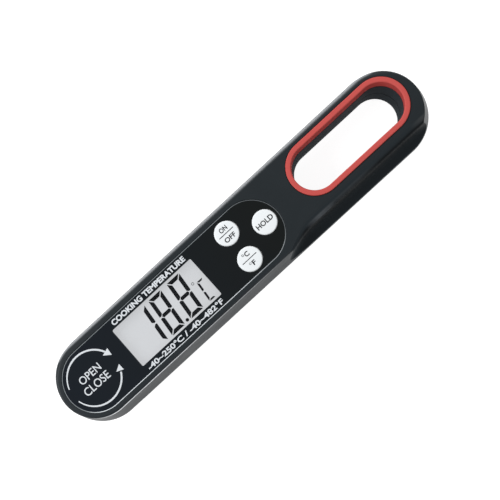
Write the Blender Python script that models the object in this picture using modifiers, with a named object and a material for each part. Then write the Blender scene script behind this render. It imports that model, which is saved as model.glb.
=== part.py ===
"""Folding probe thermometer for meat: a long round-ended handle with a display, three push buttons, a hanging slot
with a coloured trim ring, and a steel probe that swings out of a slot in the side of the handle.

Frame: metres, +Z up. The thermometer lies on its back. +X runs along the handle to the hanging slot, the probe's hub is
at -X, and the display faces +Z. Sizes below are in millimetres and are scaled by MM when a mesh is made.
"""
import math

import bmesh
import bpy
from mathutils import Matrix, Vector

MM = 0.001

# ---- driving dimensions, mm -------------------------------------------------------------------------------------------
HALF_L = 80.45         # half of the front face's length
HALF_W = 14.2         # half of the front face's width; both ends are half rounds of this radius
FACE_Z = 18.2          # front face
EDGE_R = 1.2           # rounded edge round the front
REAR_R = 1.0           # rounded edge round the back
# side profile: how far the outline stands out from the front face's outline at each height. The sides lean out from
# the front edge to a waistline above the probe's slot, then draw in again towards the back.
SIDE = ((0.0, 0.85), (1.0, 0.85), (2.4, 0.95), (4.1, 1.25), (6.2, 1.58), (8.3, 1.8), (8.8, 1.8), (9.6, 1.71), (17.0, 0.0), (18.2, 0.0))
SPLIT_Z = 6.2          # plane where the two covers meet, also the probe's centre line
SPLIT_GAP = 0.15       # half of the gap between the covers
WALL = 1.8

HUB_X, HUB_Y = -66.1, 0.0      # probe hinge axis
HUB_R = 15.0
HUB_Z0, HUB_Z1 = 3.9, 8.5
TRUNNION_R = 3.5
STEM_Y = -11.3         # probe centre line when folded
STEM_R = 1.7
STEM_X0 = -63.9
TIP_X = 50.5

SLOT_Y = -8.9          # inner wall of the probe's slot
SLOT_Z0, SLOT_Z1 = 4.1, 8.3
SLOT_X1 = 54.5

PANEL = (-78.23, 17.82, -12.2, 11.45)       # glossy panel outline x0, x1, y0, y1
PANEL_RECESS_Z = 17.4
WINDOW = (-51.45, -15.02, -8.5, 7.7)         # display window
BUTTONS = {"power_button": (-0.04, 5.49), "unit_button": (-0.04, -6.3), "hold_button": (12.07, -0.46)}
BUTTON_R = 4.36
BUTTON_TOP = 18.6
BUTTON_TRAVEL = 0.5

RING_IN = (29.08, 75.12, -6.13, 9.92)       # opening inside the trim ring
RING_LIP = 1.88        # width of the ring's lip
RING_TOP = 18.6
RING_SKIRT = 1.0
RING_BOTTOM = 12.9
SLOT_BACK_X1 = 73.2    # right end of the hanging slot at the back

PCB = (-52.0, 17.6, -11.2, 11.6)
PCB_Z0, PCB_Z1 = 9.9, 11.1
CELL_X, CELL_Y = -2.0, 2.3
CELL_R = 10.0
DOOR_R = 11.0
CASE_SCREWS = {"case_screw_1": (20.5, 9.0), "case_screw_2": (20.5, -4.7)}
BOARD_SCREWS = {"board_screw_1": (-8.8, -0.2), "board_screw_2": (7.4, 10.0), "board_screw_3": (8.2, -6.2)}

K = 10                 # segments in a quarter of the large round ends

# ---- scene ------------------------------------------------------------------------------------------------------------
for old in list(bpy.data.objects):
    bpy.data.objects.remove(old, do_unlink=True)
PARTS = bpy.data.collections.new("meat_thermometer")
CUTTERS = bpy.data.collections.new("cutters")
for c in (PARTS, CUTTERS):
    bpy.context.scene.collection.children.link(c)


def material(name, rgb, roughness, metallic=0.0, alpha=1.0):
    m = bpy.data.materials.new(name)
    m.use_nodes = True
    b = m.node_tree.nodes["Principled BSDF"]
    b.inputs["Base Color"].default_value = (*rgb, 1.0)
    b.inputs["Roughness"].default_value = roughness
    b.inputs["Metallic"].default_value = metallic
    b.inputs["Alpha"].default_value = alpha
    return m


M_CASE = material("black_case", (0.028, 0.032, 0.036), 0.5)
M_PANEL = material("gloss_panel", (0.012, 0.014, 0.016), 0.12)
M_RING = material("red_trim", (0.52, 0.09, 0.075), 0.4)
M_BUTTON = material("white_button", (0.82, 0.83, 0.84), 0.35)
M_LENS = material("clear_lens", (0.9, 0.92, 0.93), 0.05, alpha=0.3)
M_LCD = material("display_glass", (0.62, 0.64, 0.65), 0.2)
M_PCB = material("board_green", (0.03, 0.17, 0.07), 0.45)
M_CHIP = material("black_resin", (0.015, 0.015, 0.016), 0.3)
M_SILICONE = material("grey_silicone", (0.3, 0.31, 0.32), 0.7)
M_STEEL = material("polished_steel", (0.62, 0.63, 0.64), 0.22, 1.0)
M_SCREW = material("screw_steel", (0.42, 0.43, 0.45), 0.35, 1.0)
M_BRASS = material("brass_bush", (0.72, 0.52, 0.22), 0.35, 1.0)
M_WIRE = material("wire_sleeve", (0.6, 0.08, 0.06), 0.5)
M_BEAD = material("sensor_bead", (0.1, 0.1, 0.11), 0.4)


# ---- modelling helpers ------------------------------------------------------------------------------------------------
def finish(name, bm, mat=None, origin=(0.0, 0.0, 0.0), smooth=35.0, cutter=False):
    """Turns a bmesh drawn in mm into an object whose origin is at the given point."""
    o3 = Vector(origin)
    bmesh.ops.translate(bm, verts=bm.verts, vec=-o3)
    bmesh.ops.scale(bm, verts=bm.verts, vec=(MM, MM, MM))
    bmesh.ops.recalc_face_normals(bm, faces=bm.faces)
    me = bpy.data.meshes.new(name)
    bm.to_mesh(me)
    bm.free()
    ob = bpy.data.objects.new(name, me)
    ob.location = o3 * MM
    if cutter:
        CUTTERS.objects.link(ob)
        ob.hide_render = True
        ob.display_type = "WIRE"
    else:
        PARTS.objects.link(ob)
        me.materials.append(mat)
        me.shade_smooth()
        me.set_sharp_from_angle(angle=math.radians(smooth))
    return ob


def outline(x0, x1, y0, y1, r, r_right=None, k=K):
    """Counter-clockwise outline of a rectangle with rounded corners; r at the left end, r_right at the right end."""
    rr = r if r_right is None else r_right
    pts = []
    for cx, cy, rad, a0 in ((x1 - rr, y0 + rr, rr, -90), (x1 - rr, y1 - rr, rr, 0), (x0 + r, y1 - r, r, 90), (x0 + r, y0 + r, r, 180)):
        for i in range(k + 1):
            a = math.radians(a0 + 90.0 * i / k)
            pts.append((cx + rad * math.cos(a), cy + rad * math.sin(a)))
    out = [pts[0]]
    for p in pts[1:]:
        if math.dist(p, out[-1]) > 1e-4:
            out.append(p)
    if math.dist(out[0], out[-1]) < 1e-4:
        out.pop()
    return out


def stadium(x0, x1, y0, y1, grow=0.0, k=K):
    h = (y1 - y0) / 2 + grow
    return outline(x0 - grow, x1 + grow, y0 - grow, y1 + grow, h, k=k)


def circle(x, y, r, z, seg):
    return [(x + r * math.cos(2 * math.pi * i / seg), y + r * math.sin(2 * math.pi * i / seg), z) for i in range(seg)]


def loft(sections, closed=False, bm=None):
    """Skins a stack of outlines with equal point counts. sections: list of (points, z) or lists of 3-D points."""
    bm = bm or bmesh.new()
    rings = []
    for s in sections:
        pts = [(x, y, s[1]) for x, y in s[0]] if isinstance(s, tuple) else s
        rings.append([bm.verts.new(p) for p in pts])
    n = len(rings[0])
    pairs = list(zip(rings, rings[1:])) + ([(rings[-1], rings[0])] if closed else [])
    for a, b in pairs:
        for i in range(n):
            bm.faces.new((a[i], a[(i + 1) % n], b[(i + 1) % n], b[i]))
    if not closed:
        bm.faces.new(list(reversed(rings[0])))
        bm.faces.new(rings[-1])
    return bm


def cylinder(x, y, z0, z1, r, seg=24, r_top=None, bm=None):
    bm = bm or bmesh.new()
    bmesh.ops.create_cone(bm, cap_ends=True, segments=seg, radius1=r, radius2=r if r_top is None else r_top, depth=z1 - z0,
                          matrix=Matrix.Translation((x, y, (z0 + z1) / 2)))
    return bm


def block(x0, x1, y0, y1, z0, z1, bm=None):
    bm = bm or bmesh.new()
    bmesh.ops.create_cube(bm, size=1.0, matrix=Matrix.Translation(((x0 + x1) / 2, (y0 + y1) / 2, (z0 + z1) / 2))
                          @ Matrix.Diagonal((x1 - x0, y1 - y0, z1 - z0, 1.0)))
    return bm


def turned(name, profile, mat, at, axis="Z", seg=24, closed=False, origin=None, smooth=35.0):
    """A turned piece: profile is (radius, height) from top to bottom down the outer side, spun with a Screw modifier."""
    bm = bmesh.new()
    vs = [bm.verts.new((r, 0.0, h)) for r, h in profile]
    for a, b in zip(vs, vs[1:]):
        bm.edges.new((a, b))
    if closed:
        bm.edges.new((vs[-1], vs[0]))
    bmesh.ops.scale(bm, verts=bm.verts, vec=(MM, MM, MM))
    me = bpy.data.meshes.new(name)
    bm.to_mesh(me)
    bm.free()
    me.materials.append(mat)
    ob = bpy.data.objects.new(name, me)
    PARTS.objects.link(ob)
    s = ob.modifiers.new("turn", "SCREW")
    s.axis = "Z"
    s.steps = seg
    s.render_steps = seg
    s.use_merge_vertices = True
    s.merge_threshold = 0.00001
    s.use_smooth_shade = True
    ob.location = Vector(at) * MM
    if axis == "X":        # profile height runs along +X
        ob.rotation_euler = (0.0, math.radians(90), 0.0)
    return ob


def cut(target, cutter, op="DIFFERENCE"):
    m = target.modifiers.new(cutter.name, "BOOLEAN")
    m.operation = op
    m.solver = "EXACT"
    m.object = cutter
    return m


def cutter(name, bm):
    return finish(name, bm, cutter=True)


def wire(name, points, radius, mat, origin=(0, 0, 0)):
    """A round wire along a smooth line through the given points, as a closed mesh."""
    cu = bpy.data.curves.new(name, "CURVE")
    cu.dimensions = "3D"
    cu.bevel_depth = radius * MM
    cu.bevel_resolution = 1
    cu.use_fill_caps = True
    sp = cu.splines.new("POLY")
    line = spline_line(points)
    sp.points.add(len(line) - 1)
    for q, p in zip(sp.points, line):
        q.co = (p[0] * MM, p[1] * MM, p[2] * MM, 1.0)
    tmp = bpy.data.objects.new(name + "_guide", cu)
    CUTTERS.objects.link(tmp)
    bpy.context.view_layer.update()
    dg = bpy.context.evaluated_depsgraph_get()
    me = bpy.data.meshes.new_from_object(tmp.evaluated_get(dg))
    bm = bmesh.new()
    bm.from_mesh(me)
    bmesh.ops.remove_doubles(bm, verts=bm.verts, dist=1e-6)
    bmesh.ops.recalc_face_normals(bm, faces=bm.faces)
    bmesh.ops.translate(bm, verts=bm.verts, vec=-Vector(origin) * MM)
    bm.to_mesh(me)
    bm.free()
    me.materials.clear()
    me.materials.append(mat)
    me.shade_smooth()
    ob = bpy.data.objects.new(name, me)
    ob.location = Vector(origin) * MM
    PARTS.objects.link(ob)
    bpy.data.objects.remove(tmp, do_unlink=True)
    return ob


def spline_line(points, per=4):
    """Catmull-Rom line through the points."""
    p = [Vector(q) for q in points]
    p = [p[0] * 2 - p[1]] + p + [p[-1] * 2 - p[-2]]
    out = []
    for a, b, c, d in zip(p, p[1:], p[2:], p[3:]):
        steps = per if (c - b).length < 12 else 1
        for i in range(steps):
            t = i / steps
            out.append(0.5 * ((2 * b) + (c - a) * t + (2 * a - 5 * b + 4 * c - d) * t * t + (3 * b - a - 3 * c + d) * t ** 3))
    out.append(p[-2])
    return out


def side(z):
    """Outward growth of the body's outline at height z."""
    for (z0, g0), (z1, g1) in zip(SIDE, SIDE[1:]):
        if z <= z1:
            return g0 + (g1 - g0) * max(0.0, z - z0) / (z1 - z0)
    return SIDE[-1][1]


def body_outline(z, inset=0.0):
    return stadium(-HALF_L, HALF_L, -HALF_W, HALF_W, side(z) - inset)


# ---- outer shells -----------------------------------------------------------------------------------------------------
def front_blank():
    secs = [(body_outline(z), z) for z in (SPLIT_Z + SPLIT_GAP, 8.3, 8.8, 9.6, FACE_Z - EDGE_R)]
    for a in (30, 60, 90):
        t = math.radians(a)
        secs.append((body_outline(FACE_Z, EDGE_R * (1 - math.cos(t))), FACE_Z - EDGE_R + EDGE_R * math.sin(t)))
    return loft(secs)


def rear_blank():
    secs = []
    for a in (90, 60, 30):
        t = math.radians(a)
        secs.append((body_outline(0.0, REAR_R * (1 - math.cos(t))), REAR_R - REAR_R * math.sin(t)))
    secs += [(body_outline(z), z) for z in (REAR_R, 2.4, 4.1, SPLIT_Z - SPLIT_GAP)]
    return loft(secs)


def finger_relief():
    """Hollowed scoop along the lower front edge of the handle, for the thumb. It drops from the front face, then sweeps
    out to a shelf that ends in a lip at the waistline. It starts in a slanting S-shaped run-in and keeps one section to the end."""
    curve = [(-9.15, 18.26), (-10.2, 18.08), (-10.95, 17.85), (-11.6, 17.5), (-11.95, 17.15), (-12.15, 16.6), (-12.28, 15.4), (-12.42, 13.9),
             (-12.6, 12.5), (-12.9, 11.4), (-13.4, 10.7), (-14.1, 10.32), (-14.9, 10.08), (-15.95, 9.9), (-22.0, 9.9), (-22.0, 23.0), (-9.15, 23.0)]
    xa, xb, lean = -3.2, 21.8, 0.25
    stations = [xa + (xb - xa) * i / 14 for i in range(15)] + [90.0]
    secs = []
    for x in stations:
        t = max(0.0, min(1.0, (x - xa) / (xb - xa)))
        s = t * t * (3 - 2 * t)
        secs.append([(x + lean * (max(9.0, min(z, 18.2)) - 10.0), y - 5.2 * (1 - s) if y > -20 else y, z + 0.9 * (1 - s) if z < 20 else z)
                     for y, z in curve])
    return loft(secs)


def arc_block(cx, cy, r0, r1, a0, a1, z0, z1, steps, bm=None):
    """Curved bar between two radii and two angles in degrees."""
    bm = bm or bmesh.new()
    secs = []
    for i in range(steps + 1):
        a = math.radians(a0 + (a1 - a0) * i / steps)
        ca, sa = math.cos(a), math.sin(a)
        secs.append([(cx + r * ca, cy + r * sa, z) for r, z in ((r0, z0), (r1, z0), (r1, z1), (r0, z1))])
    return loft(secs, bm=bm)


relief = cutter("cut_finger_relief", finger_relief())
hub_space = cutter("cut_hub_space", cylinder(HUB_X, HUB_Y, HUB_Z0 - 0.3, HUB_Z1 + 0.3, HUB_R + 0.35, 64))
hub_mouth = cutter("cut_hub_mouth", block(-90, HUB_X + 5.6, -24, 24, HUB_Z0 - 0.3, HUB_Z1 + 0.3))
probe_slot = cutter("cut_probe_slot", block(HUB_X, SLOT_X1, -24, SLOT_Y, SLOT_Z0, SLOT_Z1))

hang = [(stadium(RING_IN[0], SLOT_BACK_X1 - 0.15, RING_IN[2], RING_IN[3]), -1.0),
        (stadium(*RING_IN), RING_BOTTOM - 0.3),
        (stadium(*RING_IN, grow=RING_SKIRT + 0.3), RING_BOTTOM - 0.3),
        (stadium(*RING_IN, grow=RING_SKIRT + 0.3), FACE_Z - 1.2),
        (stadium(*RING_IN, grow=RING_LIP + 0.15), FACE_Z - 1.2),
        (stadium(*RING_IN, grow=RING_LIP + 0.15), FACE_Z + 2.0)]
hang_slot = cutter("cut_hanging_slot", loft(hang))


# ---- front cover ------------------------------------------------------------------------------------------------------
front = finish("front_cover", front_blank(), M_CASE)
inner = HALF_W - WALL
# the room is narrower beside the scoop, low round the board's corner and high behind the scoop's wall
for name, x0, x1, y0, rl, rr, z0, z1 in (("cut_front_room", -HALF_L + WALL, 13.5, -inner, inner, 1.0, 9.3, FACE_Z - WALL),
                                         ("cut_front_room_high", 8.0, 22.5, -10.6, 0.5, 2.0, 9.3, FACE_Z - WALL),
                                         ("cut_front_room_low", 8.0, 21.6, -11.75, 0.5, 5.5, 9.3, 11.4)):
    cut(front, cutter(name, loft([(outline(x0, x1, y0, inner, rl, rr), z) for z in (z0, z1)])))
cut(front, cutter("cut_front_hub_room", cylinder(HUB_X, HUB_Y, 4.0, 9.6, inner, 48)))
cut(front, cutter("cut_front_low_room", block(-60.0, 22.4, -7.9, inner + 1.05, 4.0, 9.6)))
cut(front, cutter("add_front_pivot_boss", cylinder(HUB_X, HUB_Y, HUB_Z1 + 0.3, 16.7, 6.2, 32)), "UNION")
for n, (x, y) in BOARD_SCREWS.items():
    cut(front, cutter("add_boss_" + n, cylinder(x, y, PCB_Z1 + 0.3, 16.7, 1.9, 16)), "UNION")
for n, (x, y) in CASE_SCREWS.items():
    cut(front, cutter("add_boss_" + n, cylinder(x, y, SPLIT_Z + SPLIT_GAP, 16.7, 2.7, 20)), "UNION")
cut(front, hub_space)
cut(front, hub_mouth)
cut(front, probe_slot)
cut(front, relief)
cut(front, hang_slot)
cut(front, cutter("cut_panel_recess", loft([(stadium(*PANEL), PANEL_RECESS_Z), (stadium(*PANEL), FACE_Z + 1)])))
wx0, wx1, wy0, wy1 = WINDOW
cut(front, cutter("cut_window", loft([(outline(wx0 - 0.3, wx1 + 0.3, wy0 - 0.3, wy1 + 0.3, 0.8, k=3), 15.0),
                                      (outline(wx0 - 0.3, wx1 + 0.3, wy0 - 0.3, wy1 + 0.3, 0.8, k=3), 19.0)])))
for n, (x, y) in BUTTONS.items():
    cut(front, cutter("cut_hole_" + n, cylinder(x, y, 15.0, 19.0, BUTTON_R + 0.25, 32)))
for n, (x, y) in BOARD_SCREWS.items():
    cut(front, cutter("cut_pilot_" + n, cylinder(x, y, 10.0, 15.2, 0.9, 12)))
for n, (x, y) in CASE_SCREWS.items():
    cut(front, cutter("cut_pilot_" + n, cylinder(x, y, 5.0, 13.6, 1.0, 12)))
cut(front, cutter("cut_front_bush_seat", cylinder(HUB_X, HUB_Y, 8.0, 11.4, 4.65, 32)))
cut(front, cutter("cut_pivot_pilot", cylinder(HUB_X, HUB_Y, 8.0, 15.4, 1.05, 12)))
cut(front, cutter("cut_lead_window", block(HUB_X + 0.9, HUB_X + 7.5, -1.2, 1.2, 11.0, 13.0)))

# ---- rear cover -------------------------------------------------------------------------------------------------------
rear = finish("rear_cover", rear_blank(), M_CASE)
cut(rear, cutter("cut_rear_hub_room", cylinder(HUB_X, HUB_Y, WALL, 8.0, HALF_W - 1.0, 48)))
cut(rear, cutter("cut_rear_room", block(-60.0, 24.0, -8.1, 13.0, WALL, 8.0)))
cut(rear, cutter("add_rear_pivot_boss", cylinder(HUB_X, HUB_Y, 1.0, HUB_Z0 - 0.3, 6.2, 32)), "UNION")
stop_a = math.radians(-14.0)
cut(rear, cutter("add_stop_post", cylinder(HUB_X + 9.6 * math.cos(stop_a), HUB_Y + 9.6 * math.sin(stop_a), 1.0, 4.7, 0.8, 12)), "UNION")
cut(rear, cutter("add_battery_wall", loft([(outline(CELL_X - 13.2, CELL_X + 13.2, -9.6, 14.0, 8.0, k=6), 1.0),
                                           (outline(CELL_X - 13.2, CELL_X + 13.2, -9.6, 14.0, 8.0, k=6), SPLIT_Z - SPLIT_GAP)])), "UNION")
for n, (x, y) in CASE_SCREWS.items():
    cut(rear, cutter("add_rear_boss_" + n, cylinder(x, y, 1.0, SPLIT_Z - SPLIT_GAP, 3.1, 20)), "UNION")
cut(rear, hub_space)
cut(rear, hub_mouth)
cut(rear, probe_slot)
cut(rear, hang_slot)
cut(rear, cutter("cut_nail_notch", cylinder(42.0, -18.0, -1.0, SLOT_Z0 + 0.2, 7.4, 32)))
cut(rear, cutter("cut_cell_room", cylinder(CELL_X, CELL_Y, 1.5, 5.4, CELL_R + 0.4, 48)))
cut(rear, cutter("cut_door_seat", cylinder(CELL_X, CELL_Y, -1.0, 2.0, DOOR_R + 0.3, 48)))
for i, a in enumerate((0.0, 180.0)):
    cut(rear, cutter(f"cut_lug_track_{i}", arc_block(CELL_X, CELL_Y, 10.8, DOOR_R + 1.15, a - 50.0, a + 8.5, 0.8, 1.7, 10)))
    cut(rear, cutter(f"cut_lug_entry_{i}", arc_block(CELL_X, CELL_Y, 10.8, DOOR_R + 1.15, a - 50.0, a - 33.0, -1.0, 1.3, 3)))
cut(rear, cutter("cut_minus_window", block(-10.6, -8.9, CELL_Y - 0.7, CELL_Y + 3.3, 5.0, 7.0)))
cut(rear, cutter("cut_plus_window", block(8.0, 9.2, CELL_Y - 2.3, CELL_Y + 2.3, 2.1, 7.0)))
for n, (x, y) in CASE_SCREWS.items():
    cut(rear, cutter("cut_head_" + n, cylinder(x, y, -1.0, 3.2, 2.3, 20)))
    cut(rear, cutter("cut_shank_" + n, cylinder(x, y, 3.0, 7.0, 1.15, 12)))
cut(rear, cutter("cut_pivot_head", cylinder(HUB_X, HUB_Y, -1.0, 1.1, 2.6, 24)))
cut(rear, cutter("cut_pivot_shank", cylinder(HUB_X, HUB_Y, 0.5, 5.0, 1.2, 12)))
cut(rear, cutter("cut_rear_bush_seat", cylinder(HUB_X, HUB_Y, 1.9, 5.0, 4.65, 32)))

# ---- panel, window, ring, buttons -------------------------------------------------------------------------------------
face = finish("faceplate", loft([(stadium(*PANEL, grow=-0.12), PANEL_RECESS_Z + 0.1), (stadium(*PANEL, grow=-0.12), FACE_Z - 0.12),
                                 (stadium(*PANEL, grow=-0.24), FACE_Z)]), M_PANEL)
cut(face, cutter("cut_face_window", loft([(outline(wx0, wx1, wy0, wy1, 0.5, k=3), 17.0), (outline(wx0, wx1, wy0, wy1, 0.5, k=3), 19.0)])))
for n, (x, y) in BUTTONS.items():
    cut(face, cutter("cut_face_" + n, cylinder(x, y, 17.0, 19.0, BUTTON_R + 0.2, 32)))

finish("display_window", loft([(outline(wx0 + 0.12, wx1 - 0.12, wy0 + 0.12, wy1 - 0.12, 0.45, k=3), 16.55),
                               (outline(wx0 + 0.12, wx1 - 0.12, wy0 + 0.12, wy1 - 0.12, 0.45, k=3), 18.05)]), M_LENS)

lip = RING_LIP
ring_secs = [(stadium(*RING_IN, grow=g), z) for g, z in (
    (0.0, RING_BOTTOM), (RING_SKIRT, RING_BOTTOM), (RING_SKIRT, FACE_Z - 0.95), (lip, FACE_Z - 0.95), (lip, RING_TOP - 0.35),
    (lip - 0.1, RING_TOP - 0.1), (lip - 0.35, RING_TOP), (0.35, RING_TOP), (0.1, RING_TOP - 0.1), (0.0, RING_TOP - 0.35))]
finish("trim_ring", loft(ring_secs, closed=True), M_RING)

for n, (x, y) in BUTTONS.items():
    turned(n, [(0.0, BUTTON_TOP), (3.0, BUTTON_TOP - 0.02), (3.95, BUTTON_TOP - 0.1), (BUTTON_R - 0.12, BUTTON_TOP - 0.25), (BUTTON_R, BUTTON_TOP - 0.5),
               (BUTTON_R, 16.2), (5.0, 16.2), (5.0, 15.1), (1.6, 15.1), (1.6, 13.45), (0.0, 13.45)], M_BUTTON, (x, y, 0), seg=24)

# ---- display, board, keypad -------------------------------------------------------------------------------------------
finish("display_module", loft([(outline(-54.1, -12.1, -10.7, 10.3, 0.3, k=1), 13.5), (outline(-54.1, -12.1, -10.7, 10.3, 0.3, k=1), 14.65),
                               (outline(-54.1, -12.1, -10.7, 8.9, 0.3, k=1), 14.65), (outline(-54.1, -12.1, -10.7, 8.9, 0.3, k=1), 16.05)]), M_LCD)
finish("contact_strip_upper", block(-50.5, -15.5, 8.75, 10.15, PCB_Z1 + 0.12, 13.38), M_SILICONE)
finish("contact_strip_lower", block(-50.5, -15.5, -10.35, -8.95, PCB_Z1 + 0.12, 13.38), M_SILICONE)

board = finish("circuit_board", loft([(outline(*PCB, 1.0, k=3), PCB_Z0), (outline(*PCB, 1.0, k=3), PCB_Z1)]), M_PCB)
for n, (x, y) in BOARD_SCREWS.items():
    cut(board, cutter("cut_board_" + n, cylinder(x, y, 9.0, 12.0, 1.1, 12)))
turned("controller_chip", [(0.0, 9.78), (4.2, 9.78), (4.0, 9.3), (3.3, 8.9), (2.0, 8.66), (0.0, 8.58)], M_CHIP, (-31.0, 1.5, 0), seg=20)
turned("quartz_crystal", [(0.0, 3.0), (0.85, 3.0), (1.0, 2.8), (1.0, -3.0), (0.0, -3.0)], M_STEEL, (-18.5, 6.0, 8.6), axis="X", seg=12)
finish("filter_capacitor", block(-44.0, -42.0, -4.0, -2.75, 8.75, 9.78), M_LCD)

keypad = finish("keypad", loft([(outline(-6.6, 17.3, -8.3, 7.9, 1.5, k=3), PCB_Z1 + 0.12), (outline(-6.6, 17.3, -8.3, 7.9, 1.5, k=3), 11.75)]), M_SILICONE)
for n, (x, y) in BUTTONS.items():
    yy = max(-5.3, min(4.9, y))
    cut(keypad, cutter("add_key_" + n, cylinder(x, y if n == "hold_button" else yy, 11.5, 12.8, 2.9, 20, r_top=2.1)), "UNION")
    cut(keypad, cutter("cut_key_" + n, cylinder(x, y if n == "hold_button" else yy, 11.0, 12.2, 2.2, 20, r_top=1.6)))

cut(keypad, cutter("cut_keypad_boss", cylinder(*BOARD_SCREWS["board_screw_3"], 10.0, 13.0, 2.2, 16)))

# ---- battery ----------------------------------------------------------------------------------------------------------
turned("coin_cell", [(0.0, 4.95), (8.7, 4.95), (8.9, 4.85), (8.9, 4.6), (9.75, 4.55), (CELL_R, 4.3), (CELL_R, 2.0), (9.8, 1.78), (0.0, 1.78)],
       M_STEEL, (CELL_X, CELL_Y, 0), seg=32)


def strip(name, pts, thick, y0, y1, mat):
    """Bent strip of sheet metal: a bent line in the XZ plane, given a thickness and a width along Y."""
    left, right = [], []
    v = [Vector(p) for p in pts]
    for i, p in enumerate(v):
        d = ((v[min(i + 1, len(v) - 1)] - v[max(i - 1, 0)])).normalized()
        nrm = Vector((-d.y, d.x)) * thick / 2
        left.append(p + nrm)
        right.append(p - nrm)
    loop = left + right[::-1]
    return finish(name, loft([[(q.x, y0, q.y) for q in loop], [(q.x, y1, q.y) for q in loop]]), mat)


strip("minus_contact", [(3.0, 5.26), (-4.0, 5.2), (-9.3, 5.28), (-9.75, 5.7), (-9.75, 9.62)], 0.2, CELL_Y - 0.3, CELL_Y + 2.9, M_STEEL)
strip("plus_contact", [(8.8, 9.62), (8.75, 5.8), (8.34, 4.2), (8.34, 3.2), (8.75, 2.4)], 0.2, CELL_Y - 1.8, CELL_Y + 1.8, M_STEEL)

door = finish("battery_door", loft([(outline(CELL_X - r, CELL_X + r, CELL_Y - r, CELL_Y + r, r, k=12), z) for r, z in
                                    ((DOOR_R - 0.2, 0.0), (DOOR_R, 0.2), (DOOR_R, 1.5))]), M_CASE, origin=(CELL_X, CELL_Y, 0))
for i, a in enumerate((0.0, 180.0)):
    cut(door, cutter(f"add_lug_{i}", arc_block(CELL_X, CELL_Y, 10.0, DOOR_R + 0.95, a - 6.0, a + 6.0, 0.95, 1.45, 3)), "UNION")
cut(door, cutter("cut_coin_slot", loft([(outline(CELL_X - 6.5, CELL_X + 6.5, CELL_Y - 0.9, CELL_Y + 0.9, 0.9, k=4), -1.0),
                                        (outline(CELL_X - 6.5, CELL_X + 6.5, CELL_Y - 0.9, CELL_Y + 0.9, 0.9, k=4), 0.8)])))
turned("door_seal", [(10.5, 1.88), (11.1, 1.88), (11.1, 1.62), (10.5, 1.62)], M_SILICONE, (CELL_X, CELL_Y, 0), seg=28, closed=True)

# ---- probe ------------------------------------------------------------------------------------------------------------
hub_origin = (HUB_X, HUB_Y, SPLIT_Z)
hub_secs = [(outline(HUB_X - r, HUB_X + r, HUB_Y - r, HUB_Y + r, r, k=14), z) for r, z in
            ((HUB_R - 0.3, HUB_Z0), (HUB_R, HUB_Z0 + 0.3), (HUB_R, HUB_Z1 - 0.3), (HUB_R - 0.3, HUB_Z1))]
hub = finish("probe_hub", loft(hub_secs), M_CASE, origin=hub_origin)
cut(hub, cutter("add_trunnion", cylinder(HUB_X, HUB_Y, 2.2, 11.0, TRUNNION_R, 32)), "UNION")
cut(hub, cutter("cut_washer_room", loft([circle(HUB_X, HUB_Y, r, z, 32) for r, z in ((TRUNNION_R, 3.0), (6.6, 3.0), (6.6, 4.6), (TRUNNION_R, 4.6))], closed=True)))
cut(hub, cutter("cut_hub_bore_low", cylinder(HUB_X, HUB_Y, 0.0, 6.0, 1.4, 16)))
cut(hub, cutter("cut_hub_bore_high", cylinder(HUB_X, HUB_Y, 5.2, 12.0, 2.4, 20)))


def rod_x(x0, x1, y, z, r, seg):
    bm = bmesh.new()
    bmesh.ops.create_cone(bm, cap_ends=True, segments=seg, radius1=r, radius2=r, depth=x1 - x0,
                          matrix=Matrix.Translation(((x0 + x1) / 2, y, z)) @ Matrix.Rotation(math.radians(90), 4, "Y"))
    return bm


cut(hub, cutter("cut_stem_seat", rod_x(STEM_X0 - 0.3, HUB_X + 20, STEM_Y, SPLIT_Z, STEM_R + 0.15, 20)))
cut(hub, cutter("cut_lead_tunnel", block(HUB_X + 0.2, HUB_X + 2.4, STEM_Y - 0.9, -0.6, 5.5, 7.45)))
cut(hub, cutter("cut_cap_window", block(HUB_X + 0.2, HUB_X + 2.4, -8.8, -4.3, 6.5, 8.1)))
cut(hub, cutter("cut_cap_seat", loft([(outline(HUB_X - 1.4, HUB_X + 4.0, -9.5, -3.8, 0.8, k=3), 7.8), (outline(HUB_X - 1.4, HUB_X + 4.0, -9.5, -3.8, 0.8, k=3), 9.5)])))
cut(hub, cutter("cut_stop_track", arc_block(HUB_X, HUB_Y, 8.6, 10.6, -22.0, 174.0, 3.0, 5.0, 24)))

finish("hub_cap", loft([(outline(HUB_X - 1.25, HUB_X + 3.85, -9.35, -3.95, 0.65, k=3), 7.9),
                        (outline(HUB_X - 1.25, HUB_X + 3.85, -9.35, -3.95, 0.65, k=3), 8.5)]), M_CASE, origin=hub_origin)

stem = turned("probe_stem", [(0.0, TIP_X), (0.2, TIP_X - 0.25), (0.9, TIP_X - 3.6), (0.95, TIP_X - 4.4), (0.95, 33.5), (1.15, 32.6), (1.5, 30.8), (STEM_R, 29.8),
                             (STEM_R, STEM_X0), (1.2, STEM_X0), (1.2, 29.5), (0.55, 33.0), (0.55, TIP_X - 4.6), (0.0, TIP_X - 4.8)],
              M_STEEL, (0, STEM_Y, SPLIT_Z), axis="X", seg=20)
turned("temperature_sensor", [(0.0, 45.2), (0.3, 45.1), (0.42, 44.7), (0.42, 43.6), (0.3, 43.2), (0.0, 43.1)], M_BEAD, (0, STEM_Y, SPLIT_Z), axis="X", seg=10)
wire("probe_lead", [(42.9, STEM_Y, SPLIT_Z), (20, STEM_Y, SPLIT_Z), (-20, STEM_Y, SPLIT_Z), (-55, STEM_Y, SPLIT_Z), (-63.0, STEM_Y, 6.2), (-64.4, -10.6, 6.3), (-64.8, -9.0, 6.4),
                    (-64.8, -4.0, 6.45), (-64.75, -1.6, 6.8), (-64.55, -0.25, 8.0), (-64.5, 0.0, 9.6), (-64.5, 0.0, 11.1)], 0.35, M_WIRE, origin=hub_origin)
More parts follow.
